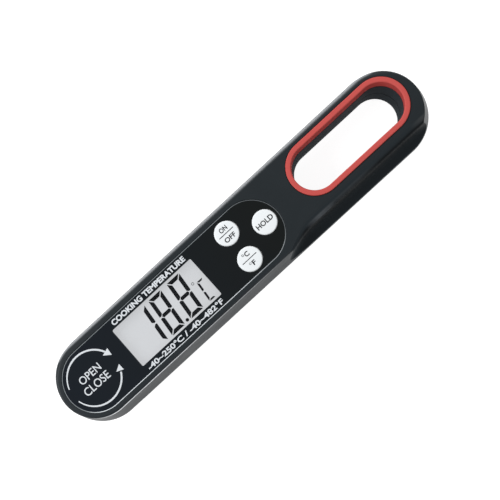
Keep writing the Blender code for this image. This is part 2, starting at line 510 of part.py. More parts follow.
wire("board_lead", [(-64.5, 0.0, 11.65), (-63.9, 0.0, 11.95), (-62.0, 0.0, 12.05), (-57.0, 0.0, 12.1), (-53.0, 0.0, 12.05), (-50.9, 0.0, 11.9), (-50.2, 0.0, 11.55)], 0.35, M_WIRE)

turned("front_pivot_bush", [(3.65, 11.1), (4.5, 11.1), (4.5, 9.0), (3.65, 9.0)], M_BRASS, (HUB_X, HUB_Y, 0), seg=24, closed=True)
turned("rear_pivot_bush", [(3.65, 3.4), (4.5, 3.4), (4.5, 2.05), (3.65, 2.05)], M_BRASS, (HUB_X, HUB_Y, 0), seg=24, closed=True)


def wave_washer():
    secs = []
    for r, dz in ((3.95, -0.12), (6.2, -0.12), (6.2, 0.12), (3.95, 0.12)):
        secs.append([(HUB_X + r * math.cos(a), HUB_Y + r * math.sin(a), 4.1 + dz + 0.16 * math.sin(3 * a)) for a in [2 * math.pi * i / 36 for i in range(36)]])
    return loft(secs, closed=True)


finish("friction_washer", wave_washer(), M_STEEL)


# ---- screws -----------------------------------------------------------------------------------------------------------
def screw(name, x, y, z_head, head_h, head_r, shank_r, z_tip):
    """Pan-head screw with a cross recess, head down and point up."""
    r = head_r
    prof = [(0.0, z_tip), (shank_r * 0.45, z_tip - 0.35), (shank_r, z_tip - 1.1), (shank_r, z_head + head_h), (r, z_head + head_h),
            (r, z_head + 0.35 * head_h), (0.8 * r, z_head), (0.0, z_head)]
    ob = turned(name, prof, M_SCREW, (x, y, 0), seg=16)
    w, l, d = 0.16 * r, 0.52 * r, min(0.55 * head_h, 0.8)
    a = cutter("cut_cross_a_" + name, block(x - l, x + l, y - w, y + w, z_head - 1, z_head + d))
    b = cutter("cut_cross_b_" + name, block(x - w, x + w, y - l, y + l, z_head - 1, z_head + d * 0.99))
    cut(ob, a)
    cut(ob, b)
    return ob


screw("pivot_screw", HUB_X, HUB_Y, 0.12, 0.85, 2.3, 0.88, 15.0)
for n, (x, y) in CASE_SCREWS.items():
    screw(n, x, y, 1.6, 1.4, 1.9, 0.82, 13.2)
for n, (x, y) in BOARD_SCREWS.items():
    screw(n, x, y, 8.75, 1.0, 1.5, 0.72, 14.8)
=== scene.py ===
"""Looks for the folding probe thermometer: fine shells, panel, prints, ring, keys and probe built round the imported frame.

Sizes in this file are in millimetres, in the row frame: +X along the handle to the hanging slot, +Y away from the
probe's slot, +Z out of the display. MM turns them into metres when a mesh is made.
"""
import math

import bmesh
import bpy
from mathutils import Matrix, Vector


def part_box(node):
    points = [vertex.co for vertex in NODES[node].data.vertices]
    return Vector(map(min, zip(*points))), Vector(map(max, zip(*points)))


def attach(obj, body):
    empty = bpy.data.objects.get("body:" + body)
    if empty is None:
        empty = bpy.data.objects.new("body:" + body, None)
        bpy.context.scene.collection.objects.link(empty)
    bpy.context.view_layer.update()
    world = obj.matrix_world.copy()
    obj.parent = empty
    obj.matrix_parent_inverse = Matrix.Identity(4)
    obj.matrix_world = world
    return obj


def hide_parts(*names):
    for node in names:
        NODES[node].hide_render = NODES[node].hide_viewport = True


MM = 0.001
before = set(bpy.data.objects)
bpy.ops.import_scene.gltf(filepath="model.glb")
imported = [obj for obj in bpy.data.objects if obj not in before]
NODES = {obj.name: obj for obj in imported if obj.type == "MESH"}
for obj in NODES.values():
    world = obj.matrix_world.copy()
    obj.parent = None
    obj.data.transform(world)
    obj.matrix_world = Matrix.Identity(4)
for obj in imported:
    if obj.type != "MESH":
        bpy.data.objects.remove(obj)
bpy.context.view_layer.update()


def mm_box(node):
    lo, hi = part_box(node)
    return [c / MM for c in lo], [c / MM for c in hi]


# ---- sizes read from the frame ----------------------------------------------------------------------------------------
front_lo, front_hi = mm_box("front_cover")
rear_lo, rear_hi = mm_box("rear_cover")
ring_lo, ring_hi = mm_box("trim_ring")
face_lo, face_hi = mm_box("faceplate")
lens_lo, lens_hi = mm_box("display_window")
lcd_lo, lcd_hi = mm_box("display_module")
hub_lo, hub_hi = mm_box("probe_hub")
stem_lo, stem_hi = mm_box("probe_stem")
door_lo, door_hi = mm_box("battery_door")

# side profile: how far the outline stands out from the front face's outline at each height, below the straight lean
SIDE = [(0.0, 0.85), (1.0, 0.85), (2.4, 0.95), (4.1, 1.25), (6.2, 1.58), (8.3, 1.8), (8.8, 1.8), (9.6, 1.71)]
LEAN_Z0, LEAN_Z1, LEAN = 9.6, 17.0, 1.71
EDGE_R, REAR_R = 1.2, 1.0
WALL = 1.8
FACE_Z = front_hi[2]
HALF_L = front_hi[0] - 1.8
HALF_W = front_hi[1] - 1.8
ARC_X = HALF_L - HALF_W                     # centres of the round ends
FRONT_Z0 = front_lo[2]
REAR_Z1 = rear_hi[2]
SPLIT_Z = (FRONT_Z0 + REAR_Z1) / 2
HUB_X, HUB_Y = -66.1, 0.0
HUB_R = HUB_X - hub_lo[0]
HUB_Z0, HUB_Z1 = 3.9, 8.5
STEM_Y = (stem_lo[1] + stem_hi[1]) / 2
STEM_Z = (stem_lo[2] + stem_hi[2]) / 2
SLOT_Y, SLOT_Z0, SLOT_Z1, SLOT_X1 = -8.9, 4.1, 8.3, 54.5
MOUTH_X = HUB_X + 5.6
PANEL = (face_lo[0] - 0.12, face_hi[0] + 0.12, face_lo[1] - 0.12, face_hi[1] + 0.12)
WINDOW = (lens_lo[0] - 0.12, lens_hi[0] + 0.12, lens_lo[1] - 0.12, lens_hi[1] + 0.12)
RECESS_Z = 17.4
RING_LIP, RING_SKIRT = 1.88, 1.0
RING_IN = (ring_lo[0] + RING_LIP, ring_hi[0] - RING_LIP, ring_lo[1] + RING_LIP, ring_hi[1] - RING_LIP)
RING_TOP, RING_BOTTOM = ring_hi[2], ring_lo[2]
SLOT_BACK_X1 = 73.2
BUTTONS = {}
for key in ("power_button", "unit_button", "hold_button"):
    lo, hi = mm_box(key)
    BUTTONS[key] = ((lo[0] + hi[0]) / 2, (lo[1] + hi[1]) / 2)
BUTTON_R, BUTTON_TOP = 4.36, mm_box("power_button")[1][2]
CELL_X, CELL_Y, CELL_R, DOOR_R = (door_lo[0] + door_hi[0]) / 2, (door_lo[1] + door_hi[1]) / 2, 10.0, 11.0
CASE_SCREWS = {"case_screw_1": (20.5, 9.0), "case_screw_2": (20.5, -4.7)}
BOARD_SCREWS = {"board_screw_1": (-8.8, -0.2), "board_screw_2": (7.4, 10.0), "board_screw_3": (8.2, -6.2)}


# ---- camera and stage -------------------------------------------------------------------------------------------------
def make_camera():
    rx, ry, rz = -0.131, 0.035, 0.007
    t = Vector((-2.011, -4.049, 291.154))
    turn = math.radians(42.8)
    r = Matrix.Rotation(rx, 3, "X") @ Matrix.Rotation(ry, 3, "Y") @ Matrix.Rotation(rz, 3, "Z")
    back = Matrix(((1, 0, 0), (0, -1, 0), (0, 0, -1))) @ r.transposed()
    right = back @ Vector((math.cos(turn), math.sin(turn), 0))
    down = back @ Vector((-math.sin(turn), math.cos(turn), 0))
    away = back @ Vector((0, 0, 1))
    place = (back @ (-t) + Vector((0, 0, FACE_Z))) * MM
    cam = bpy.data.cameras.new("studio_camera")
    cam.lens = 861.401 * 36 / 500
    cam.sensor_width = 36
    cam.clip_start, cam.clip_end = 0.01, 20
    ob = bpy.data.objects.new("studio_camera", cam)
    m = Matrix((right, -down, -away)).transposed().to_4x4()
    m.translation = place
    ob.matrix_world = m
    bpy.context.scene.collection.objects.link(ob)
    bpy.context.scene.camera = ob


make_camera()
bpy.context.scene.view_settings.view_transform = "Standard"


# ---- node helpers -----------------------------------------------------------------------------------------------------
def new_material(name):
    m = bpy.data.materials.new(name)
    m.use_nodes = True
    return m, m.node_tree, m.node_tree.nodes["Principled BSDF"]


def put(nt, kind, **values):
    n = nt.nodes.new(kind)
    for k, v in values.items():
        setattr(n, k, v)
    return n


def place_of(nt, scale=(1, 1, 1), turn=(0, 0, 0)):
    tc = put(nt, "ShaderNodeTexCoord")
    mp = put(nt, "ShaderNodeMapping")
    mp.inputs["Scale"].default_value = scale
    mp.inputs["Rotation"].default_value = turn
    nt.links.new(tc.outputs["Object"], mp.inputs["Vector"])
    return mp.outputs["Vector"]


def noise(nt, vector, size_mm, detail=3.0, rough=0.55):
    """Noise with features about size_mm across."""
    n = put(nt, "ShaderNodeTexNoise")
    n.inputs["Scale"].default_value = 1.0 / (size_mm * MM)
    n.inputs["Detail"].default_value = detail
    n.inputs["Roughness"].default_value = rough
    nt.links.new(vector, n.inputs["Vector"])
    return n.outputs["Fac"]


def spread(nt, value, a, b, lo=0.3, hi=0.7):
    """Maps a 0..1 value to a..b."""
    n = put(nt, "ShaderNodeMapRange")
    n.inputs["From Min"].default_value = lo
    n.inputs["From Max"].default_value = hi
    n.inputs["To Min"].default_value = a
    n.inputs["To Max"].default_value = b
    nt.links.new(value, n.inputs["Value"])
    return n.outputs["Result"]


def math_node(nt, op, a, b=None):
    n = put(nt, "ShaderNodeMath", operation=op)
    for i, v in enumerate((a, b)):
        if v is None:
            continue
        if isinstance(v, (int, float)):
            n.inputs[i].default_value = v
        else:
            nt.links.new(v, n.inputs[i])
    return n.outputs[0]


def mix_colour(nt, fac, a, b):
    n = put(nt, "ShaderNodeMix", data_type="RGBA")
    for k, v in (("Factor", fac), ("A", a), ("B", b)):
        s = n.inputs[0] if k == "Factor" else n.inputs[6 if k == "A" else 7]
        if isinstance(v, (tuple, list)):
            s.default_value = (*v[:3], 1.0)
        elif isinstance(v, (int, float)):
            s.default_value = v
        else:
            nt.links.new(v, s)
    return n.outputs[2]


def bump(nt, b, heights):
    """Chains bumps: heights is a list of (value socket, strength, depth in mm)."""
    last = None
    for value, strength, depth in heights:
        n = put(nt, "ShaderNodeBump")
        n.inputs["Strength"].default_value = strength
        n.inputs["Distance"].default_value = depth * MM
        nt.links.new(value, n.inputs["Height"])
        if last is not None:
            nt.links.new(last, n.inputs["Normal"])
        last = n.outputs["Normal"]
    nt.links.new(last, b.inputs["Normal"])


def scaled(rgb, k):
    return tuple(min(1.0, c * k) for c in rgb)


def moulded(name, rgb, rough, grain_mm=0.28, grain=0.25, depth=0.012, cloud=0.06, rough_var=0.04, spec=0.5, scuffs=0.0, coat=0.0):
    """Moulded plastic or silicone: spark-eroded grain, slow colour drift, rubbed patches with a little more shine."""
    m, nt, b = new_material(name)
    v = place_of(nt)
    slow = noise(nt, v, 14.0, 3)
    fine = noise(nt, v, grain_mm, 2, 0.6)
    speck = noise(nt, v, grain_mm * 3.2, 3, 0.65)
    colour = mix_colour(nt, slow, scaled(rgb, 1 - cloud), scaled(rgb, 1 + cloud))
    colour = mix_colour(nt, spread(nt, speck, 0.0, 0.35, 0.45, 0.7), colour, scaled(rgb, 1 + 1.6 * cloud))
    nt.links.new(colour, b.inputs["Base Color"])
    r = math_node(nt, "ADD", spread(nt, fine, rough - rough_var, rough + rough_var), spread(nt, slow, -rough_var, rough_var))
    if scuffs:
        w = place_of(nt, (0.25, 1.0, 1.0), (0.3, 0.2, 0.5))
        wear_and_highlight = noise(nt, w, 6.0, 5, 0.7)
        r = math_node(nt, "SUBTRACT", r, spread(nt, wear_and_highlight, 0.0, scuffs, 0.52, 0.72))
    nt.links.new(r, b.inputs["Roughness"])
    b.inputs["Specular IOR Level"].default_value = spec
    if coat:
        b.inputs["Coat Weight"].default_value = coat
        b.inputs["Coat Roughness"].default_value = 0.08
    bump(nt, b, [(fine, grain, depth), (speck, grain * 0.6, depth)])
    return m


def glossy(name, rgb, rough=0.08, cloud=0.05, spec=0.5, smear=0.05, wave=0.02):
    """Polished surface: faint smears in the shine, hairline marks and a slight waviness."""
    m, nt, b = new_material(name)
    v = place_of(nt)
    slow = noise(nt, v, 22.0, 3)
    smudge = noise(nt, place_of(nt, (0.6, 1.0, 1.0), (0, 0, 0.6)), 5.0, 5, 0.62)
    hair = noise(nt, place_of(nt, (0.05, 1.0, 1.0), (0, 0, 0.35)), 0.16, 2)
    nt.links.new(mix_colour(nt, slow, scaled(rgb, 1 - cloud), scaled(rgb, 1 + cloud)), b.inputs["Base Color"])
    r = math_node(nt, "ADD", spread(nt, smudge, rough, rough + smear, 0.4, 0.72), spread(nt, hair, 0.0, smear * 0.6, 0.62, 0.8))
    nt.links.new(r, b.inputs["Roughness"])
    b.inputs["Specular IOR Level"].default_value = spec
    bump(nt, b, [(slow, 0.12, wave), (hair, 0.05, 0.002)])
    return m


def metal(name, rgb, rough, along="x", marks=0.10, fine_mm=0.09, depth=0.003):
    """Turned or drawn metal: fine marks across the turning axis, stains and small dings in the shine."""
    m, nt, b = new_material(name)
    stretch = {"x": (1.0, 0.03, 0.03), "z": (0.03, 0.03, 1.0), "none": (1, 1, 1)}[along]
    lathe = noise(nt, place_of(nt, stretch), fine_mm, 4, 0.65)
    slow = noise(nt, place_of(nt), 9.0, 4, 0.6)
    ding = noise(nt, place_of(nt), 0.7, 3, 0.7)
    nt.links.new(mix_colour(nt, slow, scaled(rgb, 0.93), scaled(rgb, 1.05)), b.inputs["Base Color"])
    b.inputs["Metallic"].default_value = 1.0
    r = math_node(nt, "ADD", spread(nt, lathe, rough - marks / 2, rough + marks / 2), spread(nt, slow, -0.03, 0.05))
    nt.links.new(math_node(nt, "MAXIMUM", r, 0.05), b.inputs["Roughness"])
    bump(nt, b, [(lathe, 0.25, depth), (ding, 0.08, 0.004)])
    return m


CASE_RGB = (0.0127, 0.0166, 0.0192)
M_CASE = moulded("case_plastic", CASE_RGB, 0.42, grain_mm=0.22, grain=0.22, depth=0.010, cloud=0.07, rough_var=0.03, spec=0.18, scuffs=0.06)
M_MATTE = moulded("case_plastic_matt", scaled(CASE_RGB, 1.8), 0.85, grain_mm=0.35, grain=0.4, depth=0.02, cloud=0.08, rough_var=0.05, spec=0.08)



def scoop_painted_light_material():
    """Case plastic in the thumb scoop, matt, with painted light and shade: a dark painted shade on the steep wall, a
    paler shelf at its foot, and painted highlights along the top and near the round end. Case plastic in the thumb
    scoop: matt and darker on the steep wall, painted paler where the photo is pale (cause not known).
    """
    m, nt, b = new_material("case_plastic_scoop_painted_light")
    tc = put(nt, "ShaderNodeTexCoord")
    sep = put(nt, "ShaderNodeSeparateXYZ")
    nt.links.new(tc.outputs["Object"], sep.inputs[0])
    x, y, z = sep.outputs
    cloud = noise(nt, place_of(nt), 3.0, 4, 0.6)
    # Painted light: the shelf at the foot of the scoop is painted paler than the wall above it.
    colour = mix_colour(nt, spread(nt, z, 1.0, 0.0, 0.0096, 0.0104), scaled(CASE_RGB, 0.94), scaled(CASE_RGB, 1.25))
    inside = spread(nt, math_node(nt, "SUBTRACT", x, math_node(nt, "MULTIPLY", z, 0.35)), 0.0, 1.0, 0.0055, 0.0135)
    # Painted shade: the steep wall of the scoop, about 11 to 14 mm up, is painted much darker.
    colour = mix_colour(nt, math_node(nt, "MULTIPLY", math_node(nt, "MULTIPLY", spread(nt, z, 0.0, 1.0, 0.0112, 0.0140), inside), 0.9), colour, scaled(CASE_RGB, 0.32))
    # Painted highlight: a paler band along the top edge of the scoop.
    colour = mix_colour(nt, spread(nt, z, 0.0, 1.0, 0.0175, 0.0179), colour, scaled(CASE_RGB, 1.22))
    # Paler where the scoop runs in, so it blends into the case plastic beside it.
    colour = mix_colour(nt, math_node(nt, "SUBTRACT", 1.0, inside), colour, scaled(CASE_RGB, 1.30))
    # Painted highlight: a pale streak along the upper scoop, strongest near its start and fading along the handle.
    along = math_node(nt, "MULTIPLY", spread(nt, x, 0.0, 1.0, 0.021, 0.026), spread(nt, x, 1.0, 0.32, 0.029, 0.034))
    along = math_node(nt, "MULTIPLY", along, spread(nt, x, 1.0, 0.0, 0.045, 0.054))
    across = math_node(nt, "MULTIPLY", spread(nt, z, 0.0, 1.0, 0.0168, 0.0173), spread(nt, z, 1.0, 0.0, 0.0178, 0.0180))
    wear_and_highlight = math_node(nt, "MULTIPLY", math_node(nt, "MULTIPLY", along, across), spread(nt, cloud, 0.7, 1.0, 0.35, 0.65))
    colour = mix_colour(nt, wear_and_highlight, colour, (0.066, 0.072, 0.078))
    # Painted highlight near the round end, where the scoop's top edge meets it.
    end_highlight = math_node(nt, "MULTIPLY", spread(nt, x, 0.0, 1.0, 0.069, 0.0735), spread(nt, y, 1.0, 0.0, -0.0104, -0.0092))
    colour = mix_colour(nt, math_node(nt, "MULTIPLY", end_highlight, spread(nt, z, 0.0, 1.0, 0.0174, 0.0179)), colour, (0.034, 0.037, 0.039))
    colour = mix_colour(nt, spread(nt, cloud, 0.0, 0.10, 0.4, 0.7), colour, scaled(CASE_RGB, 1.6))
    nt.links.new(colour, b.inputs["Base Color"])
    nt.links.new(spread(nt, cloud, 0.58, 0.66), b.inputs["Roughness"])
    b.inputs["Specular IOR Level"].default_value = 0.07
    bump(nt, b, [(noise(nt, place_of(nt), 0.22, 2, 0.6), 0.22, 0.010)])
    return m


M_SCOOP_PAINTED_LIGHT = scoop_painted_light_material()


def edge_highlight_material():
    """Case plastic with a painted highlight on the rounded front edge: brightest beside the probe near the hub, and
    softer along the far side. Case plastic painted paler along the front edge as in the photo (cause not known): most
    beside the probe near the hub, and softly along the far side.
    """
    m, nt, b = new_material("case_plastic_edge_highlight")
    tc = put(nt, "ShaderNodeTexCoord")
    sep = put(nt, "ShaderNodeSeparateXYZ")
    nt.links.new(tc.outputs["Object"], sep.inputs[0])
    x, y, z = sep.outputs
    # Painted highlight on the rounding of the front edge beside the probe, strongest towards the hub end.
    near = math_node(nt, "MULTIPLY", spread(nt, y, 1.0, 0.0, -0.0138, -0.0098), spread(nt, x, 1.0, 0.0, -0.052, 0.008))
    crest = math_node(nt, "MULTIPLY", spread(nt, z, 0.0, 1.0, 0.01695, 0.01720), spread(nt, z, 1.0, 0.0, 0.01755, 0.01780))
    near = math_node(nt, "MULTIPLY", near, crest)
    # Painted highlight, softer, on the rounding of the front edge along the far side.
    far = math_node(nt, "MULTIPLY", spread(nt, y, 0.0, 1.0, 0.0118, 0.0128), spread(nt, z, 1.0, 0.0, 0.0178, 0.01812))
    far = math_node(nt, "MULTIPLY", far, spread(nt, z, 0.0, 1.0, 0.0150, 0.0163))
    # Noise that breaks up the painted highlight and varies the roughness.
    wear_and_highlight = noise(nt, place_of(nt, (0.2, 1.0, 1.0)), 2.5, 4, 0.6)
    near = math_node(nt, "MULTIPLY", near, spread(nt, wear_and_highlight, 0.75, 1.0, 0.35, 0.65))
    colour = mix_colour(nt, near, CASE_RGB, (0.95, 0.965, 0.99))
    colour = mix_colour(nt, math_node(nt, "MULTIPLY", far, 0.85), colour, (0.24, 0.245, 0.255))
    nt.links.new(colour, b.inputs["Base Color"])
    nt.links.new(spread(nt, wear_and_highlight, 0.36, 0.44), b.inputs["Roughness"])
    b.inputs["Specular IOR Level"].default_value = 0.18
    bump(nt, b, [(noise(nt, place_of(nt), 0.22, 2, 0.6), 0.2, 0.010)])
    return m


M_EDGE_HIGHLIGHT = edge_highlight_material()
M_DOOR = moulded("door_plastic", scaled(CASE_RGB, 1.08), 0.46, grain_mm=0.26, grain=0.28, depth=0.012, cloud=0.08, rough_var=0.03, spec=0.22, scuffs=0.05)
M_HUB = moulded("hub_plastic", scaled(CASE_RGB, 0.95), 0.40, grain_mm=0.20, grain=0.18, depth=0.010, cloud=0.06, rough_var=0.03, spec=0.24, scuffs=0.05)
M_RING = moulded("coral_ring", (0.475, 0.073, 0.064), 0.46, grain_mm=0.20, grain=0.16, depth=0.008, cloud=0.05, rough_var=0.04, spec=0.12, scuffs=0.05)
# A darker copy of the coral for the ring's side walls: painted shade.
M_RING_IN_SHADED = moulded("coral_ring_inside_shaded", (0.40, 0.050, 0.044), 0.72, grain_mm=0.20, grain=0.16, depth=0.008, cloud=0.05, rough_var=0.04, spec=0.02)
M_KEY = moulded("key_white", (0.72, 0.74, 0.745), 0.34, grain_mm=0.15, grain=0.08, depth=0.004, cloud=0.015, rough_var=0.03)
M_PRINT = moulded("print_white", (0.57, 0.59, 0.61), 0.5, grain_mm=0.12, grain=0.10, depth=0.003, cloud=0.06, rough_var=0.04, spec=0.3)
M_LEGEND = moulded("print_dark", (0.02, 0.021, 0.023), 0.5, grain_mm=0.12, grain=0.10, depth=0.003, cloud=0.10, rough_var=0.04, spec=0.1)
M_DIGIT = moulded("display_segment", (0.004, 0.0045, 0.006), 0.6, grain_mm=0.10, grain=0.05, depth=0.002, cloud=0.20, rough_var=0.05, spec=0.03)
M_SILICONE = moulded("keypad_silicone", (0.30, 0.31, 0.32), 0.72, grain_mm=0.4, grain=0.25, depth=0.02, cloud=0.05, rough_var=0.05)
M_CERAMIC = moulded("capacitor_ceramic", (0.42, 0.28, 0.15), 0.55, grain_mm=0.1, grain=0.2, depth=0.01, cloud=0.1)
M_BEAD = moulded("sensor_epoxy", (0.05, 0.05, 0.055), 0.35, grain_mm=0.15, grain=0.15, depth=0.01, cloud=0.1)
M_WIRE = moulded("wire_sleeve_red", (0.45, 0.03, 0.025), 0.48, grain_mm=0.3, grain=0.15, depth=0.01, cloud=0.08)
M_RESIN = glossy("chip_resin", (0.010, 0.010, 0.011), 0.22, smear=0.10, wave=0.06)
M_STEEL = metal("probe_steel", (0.66, 0.67, 0.68), 0.20, "x", 0.12)
M_CELL = metal("cell_steel", (0.60, 0.61, 0.62), 0.26, "none", 0.10)
M_SHEET = metal("contact_steel", (0.62, 0.61, 0.58), 0.28, "none", 0.10)
M_SCREW = metal("screw_steel_fine", (0.46, 0.47, 0.49), 0.30, "z", 0.12)
M_BRASS = metal("bush_brass", (0.72, 0.50, 0.20), 0.30, "z", 0.12)


def panel_material():
    """Polished black panel. Its tint is a little cooler at the hub end, as in the photo (cause not known)."""
    m, nt, b = new_material("panel_gloss")
    v = place_of(nt)
    tc = put(nt, "ShaderNodeTexCoord")
    sep = put(nt, "ShaderNodeSeparateXYZ")
    nt.links.new(tc.outputs["Object"], sep.inputs[0])
    along = spread(nt, sep.outputs[0], 0.0, 1.0, -0.060, 0.012)
    slow = noise(nt, v, 22.0, 3)
    smudge = noise(nt, place_of(nt, (0.6, 1.0, 1.0), (0, 0, 0.6)), 5.0, 5, 0.62)
    hair = noise(nt, place_of(nt, (0.05, 1.0, 1.0), (0, 0, 0.35)), 0.16, 2)
    tint = mix_colour(nt, along, (0.0062, 0.0092, 0.0135), (0.0044, 0.0056, 0.0054))
    tint = mix_colour(nt, spread(nt, slow, 0.0, 0.3), tint, (0.0060, 0.0072, 0.0078))
    nt.links.new(tint, b.inputs["Base Color"])
    r = math_node(nt, "ADD", spread(nt, smudge, 0.10, 0.16, 0.4, 0.72), spread(nt, hair, 0.0, 0.03, 0.62, 0.8))
    nt.links.new(r, b.inputs["Roughness"])
    b.inputs["Specular IOR Level"].default_value = 0.20
    bump(nt, b, [(slow, 0.10, 0.02), (hair, 0.05, 0.002)])
    return m


def display_material():
    """Grey liquid crystal glass: fine reflector grain, painted shade that darkens it towards the far lower corner, and
    a painted glow from emission, though it is no lamp.
    """
    m, nt, b = new_material("display_reflector")
    tc = put(nt, "ShaderNodeTexCoord")
    sep = put(nt, "ShaderNodeSeparateXYZ")
    nt.links.new(tc.outputs["Object"], sep.inputs[0])
    lean = math_node(nt, "SUBTRACT", sep.outputs[0], math_node(nt, "MULTIPLY", sep.outputs[1], 1.3))
    # Painted shade: the glass is darker towards the far lower corner.
    far = spread(nt, lean, 0.0, 1.0, -0.030, 0.004)
    grain = noise(nt, place_of(nt), 0.12, 2)
    slow = noise(nt, place_of(nt), 11.0, 2)
    base = mix_colour(nt, far, (0.60, 0.612, 0.632), (0.56, 0.568, 0.58))
    base = mix_colour(nt, spread(nt, grain, 0.0, 0.10), base, (0.40, 0.41, 0.42))
    base = mix_colour(nt, spread(nt, slow, 0.0, 0.06), base, (0.66, 0.67, 0.68))
    nt.links.new(mix_colour(nt, 0.80, base, (0.02, 0.021, 0.022)), b.inputs["Base Color"])
    nt.links.new(spread(nt, grain, 0.42, 0.55), b.inputs["Roughness"])
    # Painted glow: the reflector emits its own colour, though it is no lamp.
    nt.links.new(base, b.inputs["Emission Color"])
    b.inputs["Emission Strength"].default_value = 1.02
    b.inputs["Specular IOR Level"].default_value = 0.2
    bump(nt, b, [(grain, 0.10, 0.004)])
    return m


def lens_material():
    """Clear window, seen through, with a faint film of smears."""
    m, nt, b = new_material("window_clear")
    smudge = noise(nt, place_of(nt, (0.6, 1.0, 1.0), (0, 0, 0.6)), 5.0, 5, 0.62)
    nt.links.new(mix_colour(nt, smudge, (0.020, 0.022, 0.024), (0.05, 0.052, 0.055)), b.inputs["Base Color"])
    nt.links.new(spread(nt, smudge, 0.03, 0.10), b.inputs["Roughness"])
    b.inputs["Alpha"].default_value = 0.08
    b.inputs["Specular IOR Level"].default_value = 0.4
    m.surface_render_method = "BLENDED"
    return m


def board_material():
    """Green solder mask over copper tracks, with tinned pads."""
    m, nt, b = new_material("board_mask")
    tracks = put(nt, "ShaderNodeTexBrick")
    tracks.offset = 0.37
    tracks.inputs["Scale"].default_value = 260.0
    tracks.inputs["Mortar Size"].default_value = 0.045
    tracks.inputs["Color1"].default_value = (0, 0, 0, 1)
    tracks.inputs["Color2"].default_value = (0, 0, 0, 1)
    tracks.inputs["Mortar"].default_value = (1, 1, 1, 1)
    nt.links.new(place_of(nt), tracks.inputs["Vector"])
    pads = put(nt, "ShaderNodeTexVoronoi")
    pads.inputs["Scale"].default_value = 330.0
    nt.links.new(place_of(nt), pads.inputs["Vector"])
    pad = spread(nt, pads.outputs["Distance"], 1.0, 0.0, 0.10, 0.13)
    slow = noise(nt, place_of(nt), 8.0, 3)
    mask = mix_colour(nt, slow, (0.016, 0.10, 0.035), (0.024, 0.14, 0.05))
    mask = mix_colour(nt, tracks.outputs["Color"], mask, (0.05, 0.24, 0.07))
    nt.links.new(mix_colour(nt, pad, mask, (0.55, 0.56, 0.57)), b.inputs["Base Color"])
    nt.links.new(spread(nt, slow, 0.30, 0.42), b.inputs["Roughness"])
    bump(nt, b, [(tracks.outputs["Fac"], 0.3, 0.03)])
    return m


def line_material():
    """Grey line printed round the panel, with a painted highlight that makes it bright along the probe's side near the
    display; elsewhere it is darker towards the handle end. It is painted brighter along the probe's side, as in the
    photo (cause not known).
    """
    m, nt, b = new_material("print_line_and_highlight")
    tc = put(nt, "ShaderNodeTexCoord")
    sep = put(nt, "ShaderNodeSeparateXYZ")
    nt.links.new(tc.outputs["Object"], sep.inputs[0])
    # Painted highlight: the mask named thick is bright along the probe's side towards the hub end; it is not thicker
    # ink. The grey named thin is the line's own, darker towards the handle end.
    low = spread(nt, sep.outputs[1], 1.0, 0.0, -0.0105, -0.0065)
    left = spread(nt, sep.outputs[0], 1.0, 0.25, -0.016, 0.004)
    thick = math_node(nt, "MULTIPLY", low, left)
    thin = mix_colour(nt, spread(nt, sep.outputs[0], 0.0, 1.0, 0.002, 0.012), (0.17, 0.185, 0.195), (0.075, 0.083, 0.088))
    ink_and_highlight = mix_colour(nt, thick, thin, (0.66, 0.69, 0.71))
    speck = noise(nt, place_of(nt), 0.5, 3)
    nt.links.new(mix_colour(nt, spread(nt, speck, 0.0, 0.25), ink_and_highlight, (0.12, 0.13, 0.14)), b.inputs["Base Color"])
    nt.links.new(spread(nt, speck, 0.38, 0.5), b.inputs["Roughness"])
    b.inputs["Specular IOR Level"].default_value = 0.3
    bump(nt, b, [(speck, 0.1, 0.003)])
    return m


M_PANEL = panel_material()
M_LCD = display_material()
M_LENS = lens_material()
M_BOARD = board_material()


# ---- mesh helpers -----------------------------------------------------------------------------------------------------
def from_bm(name, bm, mat=None, smooth=35.0, weighted=False):
    """Object from a bmesh drawn in millimetres in the row frame."""
    bmesh.ops.scale(bm, verts=bm.verts, vec=(MM, MM, MM))
    bmesh.ops.recalc_face_normals(bm, faces=bm.faces)
    me = bpy.data.meshes.new(name)
    bm.to_mesh(me)
    bm.free()
    ob = bpy.data.objects.new(name, me)
    bpy.context.scene.collection.objects.link(ob)
    if mat:
        me.materials.append(mat)
        shade(ob, smooth, weighted)
    return ob


def shade(ob, smooth=35.0, weighted=False):
    me = ob.data
    me.shade_smooth()
    me.set_sharp_from_angle(angle=math.radians(smooth))
    if weighted:
        w = ob.modifiers.new("flat faces lead", "WEIGHTED_NORMAL")
        w.mode = "FACE_AREA"
        w.weight = 50
        w.keep_sharp = True


def outline(x0, x1, y0, y1, r, r_right=None, k=24):
    rr = r if r_right is None else r_right
    pts = []
    for cx, cy, rad, a0 in ((x1 - rr, y0 + rr, rr, -90), (x1 - rr, y1 - rr, rr, 0), (x0 + r, y1 - r, r, 90), (x0 + r, y0 + r, r, 180)):
        for i in range(k + 1):
            a = math.radians(a0 + 90.0 * i / k)
            pts.append((cx + rad * math.cos(a), cy + rad * math.sin(a)))
    out = [pts[0]]
    for p in pts[1:]:
        if math.dist(p, out[-1]) > 1e-4:
            out.append(p)
    if math.dist(out[0], out[-1]) < 1e-4:
        out.pop()
    return out


def stadium(x0, x1, y0, y1, grow=0.0, k=40):
    return outline(x0 - grow, x1 + grow, y0 - grow, y1 + grow, (y1 - y0) / 2 + grow, k=k)


def box_outline(box, grow, r, k=8):
    return outline(box[0] - grow, box[1] + grow, box[2] - grow, box[3] + grow, max(r + grow, 0.02), k=k)


def ring_of(x, y, r, seg):
    return [(x + r * math.cos(2 * math.pi * i / seg), y + r * math.sin(2 * math.pi * i / seg)) for i in range(seg)]


